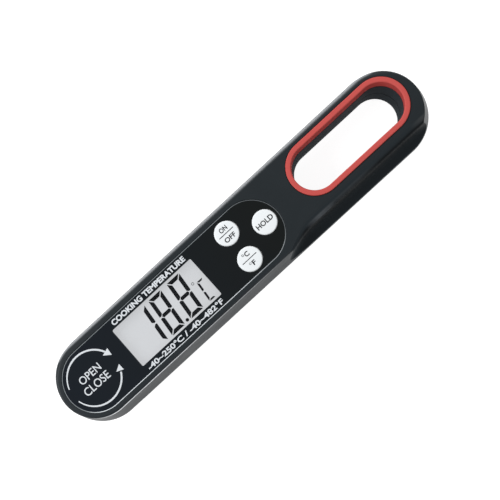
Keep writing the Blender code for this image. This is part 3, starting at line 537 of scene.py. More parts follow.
def loft(sections, closed=False, bm=None):
    """sections: (outline, z) pairs or lists of 3-D points, all with equal point counts."""
    bm = bm or bmesh.new()
    rings = []
    for s in sections:
        pts = [(p[0], p[1], s[1]) for p in s[0]] if isinstance(s, tuple) else s
        rings.append([bm.verts.new(p) for p in pts])
    n = len(rings[0])
    for a, b in list(zip(rings, rings[1:])) + ([(rings[-1], rings[0])] if closed else []):
        for i in range(n):
            bm.faces.new((a[i], a[(i + 1) % n], b[(i + 1) % n], b[i]))
    if not closed:
        bm.faces.new(list(reversed(rings[0])))
        bm.faces.new(rings[-1])
    return bm


def revolve(profile, seg, at, axis="Z", bm=None):
    """Closed turned solid. profile is (radius, height); a radius of 0 makes a pole."""
    bm = bm or bmesh.new()
    rings = []
    ax, ay, az = at

    def point(r, h, a):
        c, s = r * math.cos(a), r * math.sin(a)
        return (ax + h, ay + c, az + s) if axis == "X" else (ax + c, ay + s, az + h)

    for r, h in profile:
        if r < 1e-6:
            rings.append([bm.verts.new(point(0, h, 0))])
        else:
            rings.append([bm.verts.new(point(r, h, 2 * math.pi * i / seg)) for i in range(seg)])
    pairs = list(zip(rings, rings[1:]))
    if len(rings[0]) > 1 and len(rings[-1]) > 1:
        pairs.append((rings[-1], rings[0]))
    for a, b in pairs:
        for i in range(seg):
            j = (i + 1) % seg
            if len(a) == 1 and len(b) == 1:
                continue
            if len(a) == 1:
                bm.faces.new((a[0], b[j], b[i]))
            elif len(b) == 1:
                bm.faces.new((a[i], a[j], b[0]))
            else:
                bm.faces.new((a[i], a[j], b[j], b[i]))
    return bm


def rounded(profile, fillets, steps=5):
    """Rounds the corners of an open profile; fillets maps an index to a radius."""
    out = []
    for i, p in enumerate(profile):
        r = fillets.get(i, 0.0)
        if not r or i in (0, len(profile) - 1):
            out.append(p)
            continue
        p0, p1, p2 = Vector(profile[i - 1]), Vector(p), Vector(profile[i + 1])
        d0, d1 = (p0 - p1).normalized(), (p2 - p1).normalized()
        half = d0.angle(d1) / 2
        t = min(r / math.tan(half), (p0 - p1).length * 0.49, (p2 - p1).length * 0.49)
        a, b = p1 + d0 * t, p1 + d1 * t
        for k in range(steps + 1):
            u = k / steps
            out.append(tuple((1 - u) ** 2 * a + 2 * u * (1 - u) * p1 + u * u * b))
    return out


def cylinder(x, y, z0, z1, r, seg=64, r_top=None):
    return loft([(ring_of(x, y, r, seg), z0), (ring_of(x, y, r if r_top is None else r_top, seg), z1)])


def block(x0, x1, y0, y1, z0, z1, bm=None):
    bm = bm or bmesh.new()
    bmesh.ops.create_cube(bm, size=1.0, matrix=Matrix.Translation(((x0 + x1) / 2, (y0 + y1) / 2, (z0 + z1) / 2))
                          @ Matrix.Diagonal((x1 - x0, y1 - y0, z1 - z0, 1.0)))
    return bm


def rounded_block(x0, x1, y0, y1, z0, z1, r, k=3):
    secs = []
    for i in range(k + 1):
        a = math.radians(90 * i / k)
        secs.append((outline(x0 + r - r * math.sin(a), x1 - r + r * math.sin(a), y0 + r - r * math.sin(a), y1 - r + r * math.sin(a), max(r * math.sin(a), 0.02) + 0.02, k=4), z0 + r - r * math.cos(a)))
    for i in range(k + 1):
        a = math.radians(90 * i / k)
        secs.append((outline(x0 + r - r * math.cos(a), x1 - r + r * math.cos(a), y0 + r - r * math.cos(a), y1 - r + r * math.cos(a), max(r * math.cos(a), 0.02) + 0.02, k=4), z1 - r + r * math.sin(a)))
    return loft(secs)


def pocket_up(shape, z_deep, z_face, lip, steps=4):
    """Cutter for an opening in a face that looks up, with a rounded lip. shape(grow) gives the outline."""
    secs = [(shape(0.0), z_deep), (shape(0.0), z_face - lip)]
    for i in range(1, steps + 1):
        a = math.radians(90 * i / steps)
        secs.append((shape(lip * (1 - math.cos(a))), z_face - lip + lip * math.sin(a)))
    secs.append((shape(lip), z_face + 1.5))
    return loft(secs)


def pocket_down(shape, z_deep, z_face, lip, steps=4):
    secs = [(shape(lip), z_face - 1.5)]
    for i in range(steps, 0, -1):
        a = math.radians(90 * i / steps)
        secs.append((shape(lip * (1 - math.cos(a))), z_face + lip - lip * math.sin(a)))
    secs += [(shape(0.0), z_face + lip), (shape(0.0), z_deep)]
    return loft(secs)


def arc_block(cx, cy, r0, r1, a0, a1, z0, z1, steps):
    secs = []
    for i in range(steps + 1):
        a = math.radians(a0 + (a1 - a0) * i / steps)
        ca, sa = math.cos(a), math.sin(a)
        secs.append([(cx + r * ca, cy + r * sa, z) for r, z in ((r0, z0), (r1, z0), (r1, z1), (r0, z1))])
    return loft(secs)


def carve(ob, steps):
    """Joins and cuts solids, given as (operation, bmesh) pairs, and keeps the result as the object's own mesh."""
    tools = []
    for i, (op, bm) in enumerate(steps):
        c = from_bm(f"{ob.name}_tool_{i}", bm)
        c.hide_render = True
        tools.append(c)
        m = ob.modifiers.new(c.name, "BOOLEAN")
        m.operation = op
        m.solver = "MANIFOLD"
        m.object = c
    bpy.context.view_layer.update()
    dg = bpy.context.evaluated_depsgraph_get()
    me = bpy.data.meshes.new_from_object(ob.evaluated_get(dg))
    mats = list(ob.data.materials)
    ob.modifiers.clear()
    ob.data = me
    me.materials.clear()
    for m in mats:
        me.materials.append(m)
    for c in tools:
        bpy.data.objects.remove(c, do_unlink=True)
    return ob


CUT, ADD = "DIFFERENCE", "UNION"


# ---- outer form -------------------------------------------------------------------------------------------------------
RELIEF = [(9.4, -18.5), (9.9, -15.95), (10.08, -14.9), (10.32, -14.1), (10.7, -13.4), (11.4, -12.9), (12.5, -12.6), (13.9, -12.42), (15.4, -12.28),
          (16.6, -12.15), (17.15, -11.95), (17.5, -11.6), (17.85, -10.95), (18.08, -10.2), (18.2, -9.13)]


def pchip(table, x):
    """Smooth curve through a table that never overshoots it."""
    n = len(table)
    if x <= table[0][0]:
        return table[0][1]
    if x >= table[-1][0]:
        return table[-1][1]
    h = [table[i + 1][0] - table[i][0] for i in range(n - 1)]
    d = [(table[i + 1][1] - table[i][1]) / h[i] for i in range(n - 1)]
    m = [d[0]] + [0.0] * (n - 2) + [d[-1]]
    for i in range(1, n - 1):
        if d[i - 1] * d[i] > 0:
            w1, w2 = 2 * h[i] + h[i - 1], h[i] + 2 * h[i - 1]
            m[i] = (w1 + w2) / (w1 / d[i - 1] + w2 / d[i])
    i = next(j for j in range(n - 1) if x <= table[j + 1][0])
    t = (x - table[i][0]) / h[i]
    return ((2 * t ** 3 - 3 * t * t + 1) * table[i][1] + (t ** 3 - 2 * t * t + t) * h[i] * m[i]
            + (-2 * t ** 3 + 3 * t * t) * table[i + 1][1] + (t ** 3 - t * t) * h[i] * m[i + 1])


def relief_y(x, z):
    """Inner limit of the side at the thumb scoop."""
    lift = 0.45
    for _ in range(3):
        t = max(0.0, min(1.0, (x - 0.25 * (max(9.0, min(z - lift, 18.2)) - 10.0) + 3.2) / 25.0))
        s = t * t * (3 - 2 * t)
        lift = 0.9 * (1 - s)
    if z - lift < RELIEF[0][0]:
        return -30.0
    return pchip(RELIEF, z - lift) - 5.2 * (1 - s)


def smooth_max(a, b, r):
    h = max(r - abs(a - b), 0.0) / r
    return max(a, b) + h * h * r / 4


LEAN_TURN = math.atan(LEAN / (LEAN_Z1 - LEAN_Z0))
EDGE_R_FAR, EDGE_R_NEAR = 1.7, 0.62        # rounding of the front edge on the far side and on the probe's side
EDGE_Z = FACE_Z - EDGE_R_FAR + EDGE_R_FAR * math.sin(LEAN_TURN)


def edge_side(z, r):
    """Outward growth near the front face when its edge is rounded with radius r."""
    start = FACE_Z - r + r * math.sin(LEAN_TURN)
    line = LEAN * (LEAN_Z1 - min(z, start)) / (LEAN_Z1 - LEAN_Z0)
    if z <= start:
        return line
    up = min(1.0, (z - FACE_Z + r) / r)
    return line - r * (math.cos(LEAN_TURN) - math.sqrt(max(0.0, 1 - up * up)))


def side(z, toward=0.0):
    """Outward growth of the body's outline at height z; toward is the outline's direction along Y."""
    if z > LEAN_Z0:
        t = max(0.0, min(1.0, (0.9 - toward) / 1.2))
        t = t * t * (3 - 2 * t)
        return edge_side(z, EDGE_R_FAR) * (1 - t) + edge_side(z, EDGE_R_NEAR) * t
    return pchip(SIDE, z)


def stops(a, b, step):
    n = max(1, round((b - a) / step))
    return [a + (b - a) * i / n for i in range(n)]


LOWER = (stops(-ARC_X, MOUTH_X - 0.04, 1.5) + [MOUTH_X - 0.04, MOUTH_X + 0.04] + stops(MOUTH_X + 1.0, 4.0, 2.0) + stops(4.0, 26.0, 0.28)
         + stops(26.0, SLOT_X1 - 0.04, 1.5) + [SLOT_X1 - 0.04, SLOT_X1 + 0.04] + stops(SLOT_X1 + 1.0, ARC_X, 1.2))
UPPER = stops(-ARC_X, ARC_X, 3.0)[1:] + [ARC_X]


def body_points():
    """Stations round the body as (kind, value)."""
    pts = [("low", x) for x in LOWER]
    pts += [("right", -90 + 90 * i / 84) for i in range(84)] + [("right", 90 * i / 48) for i in range(48)]
    pts += [("up", x) for x in reversed(UPPER)]
    mouth = math.degrees(math.acos((MOUTH_X + ARC_X) / HALF_W)) if abs(MOUTH_X + ARC_X) < HALF_W else 90
    pts += [("left", 90 + 180 * i / 120) for i in range(120)]
    return pts


STATIONS = body_points()


def level(z, split=0.0, top=0.0, lips=None):
    """Outline of the body at height z. split pulls every side in, top only the edge of the back. lips gives the pull-in
    at the probe's slot and at the hub's mouth."""
    out = []
    for kind, v in STATIONS:
        toward = -1.0 if kind == "low" else 1.0 if kind == "up" else math.sin(math.radians(v))
        radius = HALF_W + side(z, toward) - top
        if kind == "low":
            x, y = v, -radius
        elif kind == "up":
            x, y = v, radius
        elif kind == "right":
            a = math.radians(v)
            x, y = ARC_X + radius * math.cos(a), radius * math.sin(a)
        else:
            a = math.radians(v)
            x, y = -ARC_X + radius * math.cos(a), radius * math.sin(a)
        pull = split
        if lips is not None:
            if x < MOUTH_X:
                pull = lips[1]
            elif y < 0 and x < SLOT_X1:
                pull = lips[0]
        k = (radius - pull) / radius
        if kind in ("low", "up"):
            y *= k
        else:
            cx = ARC_X if kind == "right" else -ARC_X
            x, y = cx + (x - cx) * k, y * k
        if y < 0 and x > 4.0 and z > 8.9:
            y = smooth_max(y, relief_y(x, z), 0.3)
        out.append((x, y))
    return out


def lip(d, r=0.22):
    """Pull-in of a rounded edge at a distance d above the edge."""
    if d >= r:
        return 0.0
    d = max(d, 0.0)
    return r - math.sqrt(max(r * r - (r - d) ** 2, 0.0))


def front_form():
    hub = HUB_Z1 + 0.3
    zs = [FRONT_Z0, FRONT_Z0 + 0.02, FRONT_Z0 + 0.07, FRONT_Z0 + 0.22, 7.2, SLOT_Z1 - 0.1, SLOT_Z1, SLOT_Z1 + 0.02, SLOT_Z1 + 0.07, SLOT_Z1 + 0.22]
    zs += [hub - 0.05, hub, hub + 0.02, hub + 0.07, hub + 0.22] + stops(9.2, 9.7, 0.17) + stops(9.7, 11.2, 0.09) + stops(11.2, 12.6, 0.2) + stops(12.6, EDGE_Z, 0.45)
    secs = [(level(z, lip(z - FRONT_Z0), 0.0, (lip(z - SLOT_Z1), lip(z - hub))), z) for z in zs]
    for i in range(19):
        a = LEAN_TURN + (math.pi / 2 - LEAN_TURN) * i / 18
        z = FACE_Z - EDGE_R_FAR + EDGE_R_FAR * math.sin(a)
        secs.append((level(z), z))
    return loft(secs)


def rear_form():
    secs = []
    for i in range(10, 0, -1):
        a = math.radians(90 * i / 10)
        z = REAR_R - REAR_R * math.sin(a)
        secs.append((level(z, 0.0, REAR_R * (1 - math.cos(a))), z))
    hub = HUB_Z0 - 0.3
    zs = [REAR_R, 1.8, 2.6, hub - 0.22, hub - 0.07, hub - 0.02, hub, hub + 0.05, SLOT_Z0 - 0.22, SLOT_Z0 - 0.07, SLOT_Z0 - 0.02, SLOT_Z0, SLOT_Z0 + 0.05, 5.0,
          REAR_Z1 - 0.22, REAR_Z1 - 0.07, REAR_Z1 - 0.02, REAR_Z1]
    zs = sorted(set(zs))
    secs += [(level(z, lip(REAR_Z1 - z), 0.0, (lip(SLOT_Z0 - z), lip(hub - z))), z) for z in zs]
    return loft(secs)


# ---- shells -----------------------------------------------------------------------------------------------------------
inner = HALF_W - WALL


def hanging_cut():
    secs = []
    f = 0.7
    for i in range(5, 0, -1):
        a = math.radians(90 * i / 5)
        g = f * (1 - math.cos(a))
        secs.append((stadium(RING_IN[0], SLOT_BACK_X1 - 0.15, RING_IN[2], RING_IN[3], grow=g), f - f * math.sin(a)))
    secs.insert(0, (stadium(RING_IN[0], SLOT_BACK_X1 - 0.15, RING_IN[2], RING_IN[3], grow=f), -1.0))
    secs += [(stadium(RING_IN[0], SLOT_BACK_X1 - 0.15, RING_IN[2], RING_IN[3]), f),
             (stadium(*RING_IN), RING_BOTTOM - 0.3),
             (stadium(*RING_IN, grow=RING_SKIRT + 0.3), RING_BOTTOM - 0.3),
             (stadium(*RING_IN, grow=RING_SKIRT + 0.3), FACE_Z - 1.2),
             (stadium(*RING_IN, grow=RING_LIP + 0.13), FACE_Z - 1.2),
             (stadium(*RING_IN, grow=RING_LIP + 0.13), FACE_Z - 0.15),
             (stadium(*RING_IN, grow=RING_LIP + 0.17), FACE_Z - 0.05),
             (stadium(*RING_IN, grow=RING_LIP + 0.28), FACE_Z),
             (stadium(*RING_IN, grow=RING_LIP + 0.28), FACE_Z + 1.0)]
    return loft(secs)


def common_cuts():
    return [(CUT, cylinder(HUB_X, HUB_Y, HUB_Z0 - 0.3, HUB_Z1 + 0.3, HUB_R + 0.35, 160)),
            (CUT, block(-90, MOUTH_X, -24, 24, HUB_Z0 - 0.3, HUB_Z1 + 0.3)),
            (CUT, block(HUB_X, SLOT_X1, -24, SLOT_Y, SLOT_Z0, SLOT_Z1)),
            (CUT, hanging_cut())]


def matte_slot(ob):
    """Gives the walls of the hanging slot the coarse matt finish of unpolished tooling."""
    ob.data.materials.append(M_MATTE)
    x0, x1, y0, y1 = (c * MM for c in RING_IN)
    mid, half = (y0 + y1) / 2, (y1 - y0) / 2 + 1.6 * MM
    for f in ob.data.polygons:
        c = f.center
        away = max(x0 + half - 1.6 * MM - c.x, c.x - (x1 - half + 1.6 * MM), 0.0)
        if abs(f.normal.z) < 0.4 and math.hypot(away, c.y - mid) < half and c.z < (RING_BOTTOM + 0.2) * MM:
            f.material_index = 1


def front_shell():
    ob = from_bm("front_shell", front_form())
    steps = [(CUT, loft([(outline(x0, x1, y0, inner, rl, rr), z) for z in (9.3, z1)]))
             for x0, x1, y0, rl, rr, z1 in ((-HALF_L + WALL, 13.5, -inner, inner, 1.0, FACE_Z - WALL), (8.0, 22.5, -10.6, 0.5, 2.0, FACE_Z - WALL),
                                            (8.0, 21.6, -11.75, 0.5, 5.5, 11.4))]
    steps += [
             (CUT, cylinder(HUB_X, HUB_Y, 4.0, 9.6, inner, 96)),
             (CUT, block(-60.0, 22.4, -7.9, inner + 1.05, 4.0, 9.6)),
             (ADD, cylinder(HUB_X, HUB_Y, HUB_Z1 + 0.3, 16.7, 6.2, 64))]
    steps += [(ADD, cylinder(x, y, 11.4, 16.7, 1.9, 32)) for x, y in BOARD_SCREWS.values()]
    steps += [(ADD, cylinder(x, y, FRONT_Z0, 16.7, 2.7, 32)) for x, y in CASE_SCREWS.values()]
    steps += common_cuts()
    steps += [(CUT, pocket_up(lambda g: stadium(*PANEL, grow=g), RECESS_Z, FACE_Z, 0.14)),
              (CUT, loft([(box_outline(WINDOW, 0.3, 0.5), 15.0), (box_outline(WINDOW, 0.3, 0.5), 19.0)]))]
    steps += [(CUT, cylinder(x, y, 15.0, 19.0, BUTTON_R + 0.25, 64)) for x, y in BUTTONS.values()]
    steps += [(CUT, cylinder(x, y, 10.0, 15.2, 0.9, 24)) for x, y in BOARD_SCREWS.values()]
    steps += [(CUT, cylinder(x, y, 5.0, 13.6, 1.0, 24)) for x, y in CASE_SCREWS.values()]
    steps += [(CUT, cylinder(HUB_X, HUB_Y, 8.0, 11.4, 4.65, 64)),
              (CUT, cylinder(HUB_X, HUB_Y, 8.0, 15.4, 1.05, 24)),
              (CUT, block(HUB_X + 0.9, HUB_X + 7.5, -1.2, 1.2, 11.0, 13.0))]
    carve(ob, steps)
    ob.data.materials.append(M_CASE)
    matte_slot(ob)
    ob.data.materials.append(M_EDGE_HIGHLIGHT)
    ob.data.materials.append(M_SCOOP_PAINTED_LIGHT)
    # Scoop faces take the scoop plastic with its painted shade and highlights; faces on the rounded front edge take the
    # case plastic with a painted highlight.
    for f in ob.data.polygons:
        c, n = f.center / MM, f.normal
        if f.material_index == 0 and 8.0 < c.x and c.y < -9.2 and 9.3 < c.z < 18.12 and n.z > -0.1 and HALF_W + side(c.z, -1.0) - math.hypot(max(c.x - ARC_X, 0.0), c.y) > 0.06:
            f.material_index = 3
        if f.material_index == 0 and n.z > 0.12 and 14.5 < c.z < FACE_Z - 0.02 and (c.y > 5 or (c.x < 12 and math.hypot(max(abs(c.x) - ARC_X, 0), c.y) > HALF_W - 1.2)):
            f.material_index = 2
    shade(ob, 32, True)
    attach(ob, "handle")
    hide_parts("front_cover")
    return ob


def rear_shell():
    ob = from_bm("rear_shell", rear_form())
    wall = outline(CELL_X - 13.2, CELL_X + 13.2, -9.6, 14.0, 8.0, k=12)
    a = math.radians(-14.0)
    steps = [(CUT, cylinder(HUB_X, HUB_Y, WALL, 8.0, HALF_W - 1.0, 96)),
             (CUT, block(-60.0, 24.0, -8.1, 13.0, WALL, 8.0)),
             (ADD, cylinder(HUB_X, HUB_Y, 1.0, HUB_Z0 - 0.3, 6.2, 64)),
             (ADD, cylinder(HUB_X + 9.6 * math.cos(a), HUB_Y + 9.6 * math.sin(a), 1.0, 4.7, 0.8, 24)),
             (ADD, loft([(wall, 1.0), (wall, REAR_Z1)]))]
    steps += [(ADD, cylinder(x, y, 1.0, REAR_Z1, 3.1, 32)) for x, y in CASE_SCREWS.values()]
    steps += common_cuts()
    steps += [(CUT, pocket_down(lambda g: ring_of(42.0, -18.0, 7.4 + g, 128), SLOT_Z0 + 0.2, 0.0, 0.5)),
              (CUT, cylinder(CELL_X, CELL_Y, 1.5, 5.4, CELL_R + 0.4, 96)),
              (CUT, pocket_down(lambda g: ring_of(CELL_X, CELL_Y, DOOR_R + 0.22 + g, 128), 2.0, 0.0, 0.3))]
    for b in (0.0, 180.0):
        steps += [(CUT, arc_block(CELL_X, CELL_Y, 10.8, DOOR_R + 1.15, b - 50.0, b + 8.5, 0.8, 1.7, 24)),
                  (CUT, arc_block(CELL_X, CELL_Y, 10.8, DOOR_R + 1.15, b - 50.0, b - 33.0, -1.0, 1.3, 8))]
    steps += [(CUT, block(-10.6, -8.9, CELL_Y - 0.7, CELL_Y + 3.3, 5.0, 7.0)),
              (CUT, block(8.0, 9.2, CELL_Y - 2.3, CELL_Y + 2.3, 2.1, 7.0))]
    for x, y in CASE_SCREWS.values():
        steps += [(CUT, pocket_down(lambda g, x=x, y=y: ring_of(x, y, 2.3 + g, 48), 3.2, 0.0, 0.3)), (CUT, cylinder(x, y, 3.0, 7.0, 1.15, 24))]
    steps += [(CUT, pocket_down(lambda g: ring_of(HUB_X, HUB_Y, 2.6 + g, 64), 1.1, 0.0, 0.25)),
              (CUT, cylinder(HUB_X, HUB_Y, 0.5, 5.0, 1.2, 24)),
              (CUT, cylinder(HUB_X, HUB_Y, 1.9, 5.0, 4.65, 64))]
    # two sunk marks beside the door show where its slot points when it is shut and when it is open
    for b, r in ((90.0, 0.55), (49.0, 0.32)):
        c = math.radians(b)
        steps.append((CUT, pocket_down(lambda g, c=c, r=r: ring_of(CELL_X + 13.1 * math.cos(c), CELL_Y + 13.1 * math.sin(c), r + g, 24), 0.3, 0.0, 0.1)))
    carve(ob, steps)
    ob.data.materials.append(M_CASE)
    matte_slot(ob)
    shade(ob, 32, True)
    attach(ob, "handle")
    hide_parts("rear_cover")
    return ob


front_shell()
rear_shell()


# ---- panel and prints -------------------------------------------------------------------------------------------------
def glossy_panel():
    r = 0.24
    secs = [(stadium(*PANEL, grow=-0.10), RECESS_Z + 0.1), (stadium(*PANEL, grow=-0.10), FACE_Z - r)]
    for i in range(1, 7):
        a = math.radians(90 * i / 6)
        secs.append((stadium(*PANEL, grow=-0.10 - r * (1 - math.cos(a))), FACE_Z - r + r * math.sin(a)))
    ob = from_bm("glossy_panel", loft(secs))
    steps = [(CUT, pocket_up(lambda g: box_outline(WINDOW, g, 0.5), 17.0, FACE_Z, 0.08, 3))]
    for x, y in BUTTONS.values():
        steps.append((CUT, pocket_up(lambda g, x=x, y=y: ring_of(x, y, BUTTON_R + 0.18 + g, 96), 17.0, FACE_Z, 0.12, 4)))
    carve(ob, steps)
    ob.data.materials.append(M_PANEL)
    shade(ob, 40, True)
    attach(ob, "handle")
    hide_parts("faceplate")


glossy_panel()

INK = 0.012            # thickness of a printed mark, mm


def flat_solid(bm, polygon, z, thick=INK):
    """Adds a thin plate with this outline to bm, standing on z."""
    n = len(polygon)
    low = [bm.verts.new((x, y, z)) for x, y in polygon]
    top = [bm.verts.new((x, y, z + thick)) for x, y in polygon]
    bm.faces.new(list(reversed(low)))
    bm.faces.new(top)
    for i in range(n):
        bm.faces.new((low[i], low[(i + 1) % n], top[(i + 1) % n], top[i]))


def band(bm, outer, inner_pts, z, thick=INK):
    """Adds a closed thin ring between two outlines of equal point count."""
    n = len(outer)
    r = [[bm.verts.new((p[0], p[1], h)) for p in pts] for pts, h in ((outer, z), (outer, z + thick), (inner_pts, z + thick), (inner_pts, z))]
    for a, b in zip(r, r[1:] + r[:1]):
        for i in range(n):
            bm.faces.new((a[i], a[(i + 1) % n], b[(i + 1) % n], b[i]))


def add_text(bm, text, box, z, weight=0.0, shear=0.0, thick=INK):
    """Adds lettering that fills box = (x0, x1, y0, y1)."""
    cu = bpy.data.curves.new("lettering", "FONT")
    cu.body = text
    cu.size = 1.0
    cu.offset = weight
    cu.shear = shear
    cu.resolution_u = 6
    cu.extrude = 0.5
    tmp = bpy.data.objects.new("lettering", cu)
    bpy.context.scene.collection.objects.link(tmp)
    bpy.context.view_layer.update()
    dg = bpy.context.evaluated_depsgraph_get()
    me = bpy.data.meshes.new_from_object(tmp.evaluated_get(dg))
    xs = [v.co.x for v in me.vertices]
    ys = [v.co.y for v in me.vertices]
    x0, x1, y0, y1 = min(xs), max(xs), min(ys), max(ys)
    kx = (box[1] - box[0]) / (x1 - x0)
    ky = (box[3] - box[2]) / (y1 - y0)
    for v in me.vertices:
        v.co = (box[0] + (v.co.x - x0) * kx, box[2] + (v.co.y - y0) * ky, z + (v.co.z + 0.5) * thick)
    bm.from_mesh(me)
    bpy.data.objects.remove(tmp, do_unlink=True)
    bpy.data.curves.remove(cu)
    bpy.data.meshes.remove(me)


def arc_arrow(bm, cx, cy, r, w0, w1, a0, a1, tip, back_l, back_r, z):
    """Curved arrow: a stroke that widens from w0 to w1 between two angles, with a solid head."""
    n = 60
    outer, inner_pts = [], []
    for i in range(n + 1):
        t = i / n
        a = math.radians(a0 + (a1 - a0) * t)
        w = w0 + (w1 - w0) * min(1.0, t * 2.2)
        outer.append((cx + (r + w / 2) * math.cos(a), cy + (r + w / 2) * math.sin(a)))
        inner_pts.append((cx + (r - w / 2) * math.cos(a), cy + (r - w / 2) * math.sin(a)))
    for i in range(n):
        q = [outer[i], outer[i + 1], inner_pts[i + 1], inner_pts[i]]
        flat_solid(bm, q if a1 > a0 else q[::-1], z)
    flat_solid(bm, [tip, back_l, back_r], z)


def panel_print():
    bm = bmesh.new()
    z = FACE_Z + 0.002
    cx, cy, r = -66.6, -0.12, 9.56
    arc_arrow(bm, cx, cy, r, 0.38, 0.62, 163.0, 25.0, (-56.8, 1.65), (-59.35, 3.5), (-56.5, 4.4), z)
    arc_arrow(bm, cx, cy, r, 0.38, 0.62, 194.0, 331.0, (-57.05, -2.35), (-59.45, -3.75), (-56.95, -4.85), z)
    add_text(bm, "OPEN", (-71.4, -62.4, 0.5, 3.3), z, 0.006)
    add_text(bm, "CLOSE", (-72.5, -61.7, -3.6, -0.68), z, 0.006)
    add_text(bm, "COOKING TEMPERATURE", (-49.78, -16.38, 8.32, 10.38), z, 0.040)
    add_text(bm, "-40~250°C / -40~482°F", (-50.35, -16.15, -11.25, -9.25), z, 0.030)
    ob = from_bm("panel_print", bm, M_PRINT, 30)
    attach(ob, "handle")
    bm = bmesh.new()
    x0, x1, y0, y1 = PANEL
    band(bm, stadium(x0 + 0.14, x1 - 0.14, y0 + 0.10, y1 - 0.18), stadium(x0 + 0.38, x1 - 0.38, y0 + 0.34, y1 - 0.40), z)
    ob = from_bm("panel_outline", bm, line_material(), 30)
    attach(ob, "handle")


panel_print()


# ---- display ----------------------------------------------------------------------------------------------------------
def seven(on, x, y, w, h, t, slant, gap, th=None):
    """Outlines of the lit strokes of one display figure. Strokes are named a to g, clockwise from the top; t is the
    width of the upright strokes and th of the level ones."""
    m = h / 2
    th = th or t
    s = {
        "a": [(gap, h), (w - gap, h), (w - gap - th, h - th), (gap + th, h - th)],
        "d": [(gap + th, th), (w - gap - th, th), (w - gap, 0), (gap, 0)],
        "f": [(0, h - gap * 1.2), (t, h - gap * 1.2 - t), (t, m + gap + t * 0.45), (t * 0.45, m + gap), (0, m + gap + 0.1 * t)],
        "b": [(w, h - gap * 1.2), (w, m + gap + 0.1 * t), (w - t * 0.45, m + gap), (w - t, m + gap + t * 0.45), (w - t, h - gap * 1.2 - t)],
        "e": [(0, gap * 1.2), (0, m - gap - 0.1 * t), (t * 0.45, m - gap), (t, m - gap - t * 0.45), (t, gap * 1.2 + t)],
        "c": [(w, gap * 1.2), (w - t, gap * 1.2 + t), (w - t, m - gap - t * 0.45), (w - t * 0.45, m - gap), (w, m - gap - 0.1 * t)],
        "g": [(t * 0.5 + gap, m), (t * 0.8 + gap, m + th * 0.46), (w - t * 0.8 - gap, m + th * 0.46), (w - t * 0.5 - gap, m), (w - t * 0.8 - gap, m - th * 0.46), (t * 0.8 + gap, m - th * 0.46)],
    }
    return [[(x + px + slant * py, y + py) for px, py in s[k]] for k in on]


def display_segments():
    bm = bmesh.new()
    z = lcd_hi[2] + 0.005
    k = 0.106
    figures = seven("bc", -44.18, -7.53, 5.0, 14.6, 1.45, k, 0.22)
    figures += seven("abcdefg", -37.28, -7.53, 5.84, 14.6, 1.45, k, 0.22, 1.42)
    figures += seven("abcdefg", -28.71, -7.53, 5.81, 14.6, 1.45, k, 0.22, 1.42)
    figures += seven("adef", -19.95, -7.45, 2.85, 7.9, 0.78, k, 0.2, 0.62)
    for f in figures:
        a = sum(p[0] * q[1] - q[0] * p[1] for p, q in zip(f, f[1:] + f[:1]))
        flat_solid(bm, f if a > 0 else f[::-1], z)
    flat_solid(bm, ring_of(-29.85, -6.85, 0.62, 24), z)
    band(bm, ring_of(-20.3, 1.0, 0.52, 24), ring_of(-20.3, 1.0, 0.36, 24), z)
    ob = from_bm("display_segments", bm, M_DIGIT, 30)
    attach(ob, "handle")


display_segments()


# ---- trim ring --------------------------------------------------------------------------------------------------------
def trim_ring():
    under = FACE_Z - 0.95
    prof = [(0.0, RING_BOTTOM), (RING_SKIRT, RING_BOTTOM), (RING_SKIRT, under), (RING_LIP, under), (RING_LIP, RING_TOP), (0.0, RING_TOP)]
    loop = []
    radii = [0.25, 0.2, 0.0, 0.1, 0.34, 0.42]
    n = len(prof)
    for i, p in enumerate(prof):
        r = radii[i]
        if not r:
            loop.append(p)
            continue
        p0, p1, p2 = Vector(prof[i - 1]), Vector(p), Vector(prof[(i + 1) % n])
        d0, d1 = (p0 - p1).normalized(), (p2 - p1).normalized()
        for j in range(8):
            a = math.radians(90 * j / 7)
            loop.append(tuple(p1 + d0 * r * (1 - math.sin(a)) + d1 * r * (1 - math.cos(a))))
    ob = from_bm("trim_ring_smooth", loft([(stadium(*RING_IN, grow=g, k=56), z) for g, z in loop], closed=True), M_RING, 40, True)
    ob.data.materials.append(M_RING_IN_SHADED)
    # The ring's side walls take the darker coral copy as painted shade.
    for f in ob.data.polygons:
        if abs(f.normal.z) < 0.5 and f.center.z < (RING_TOP - 0.3) * MM:
            f.material_index = 1
    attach(ob, "handle")
    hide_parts("trim_ring")


trim_ring()


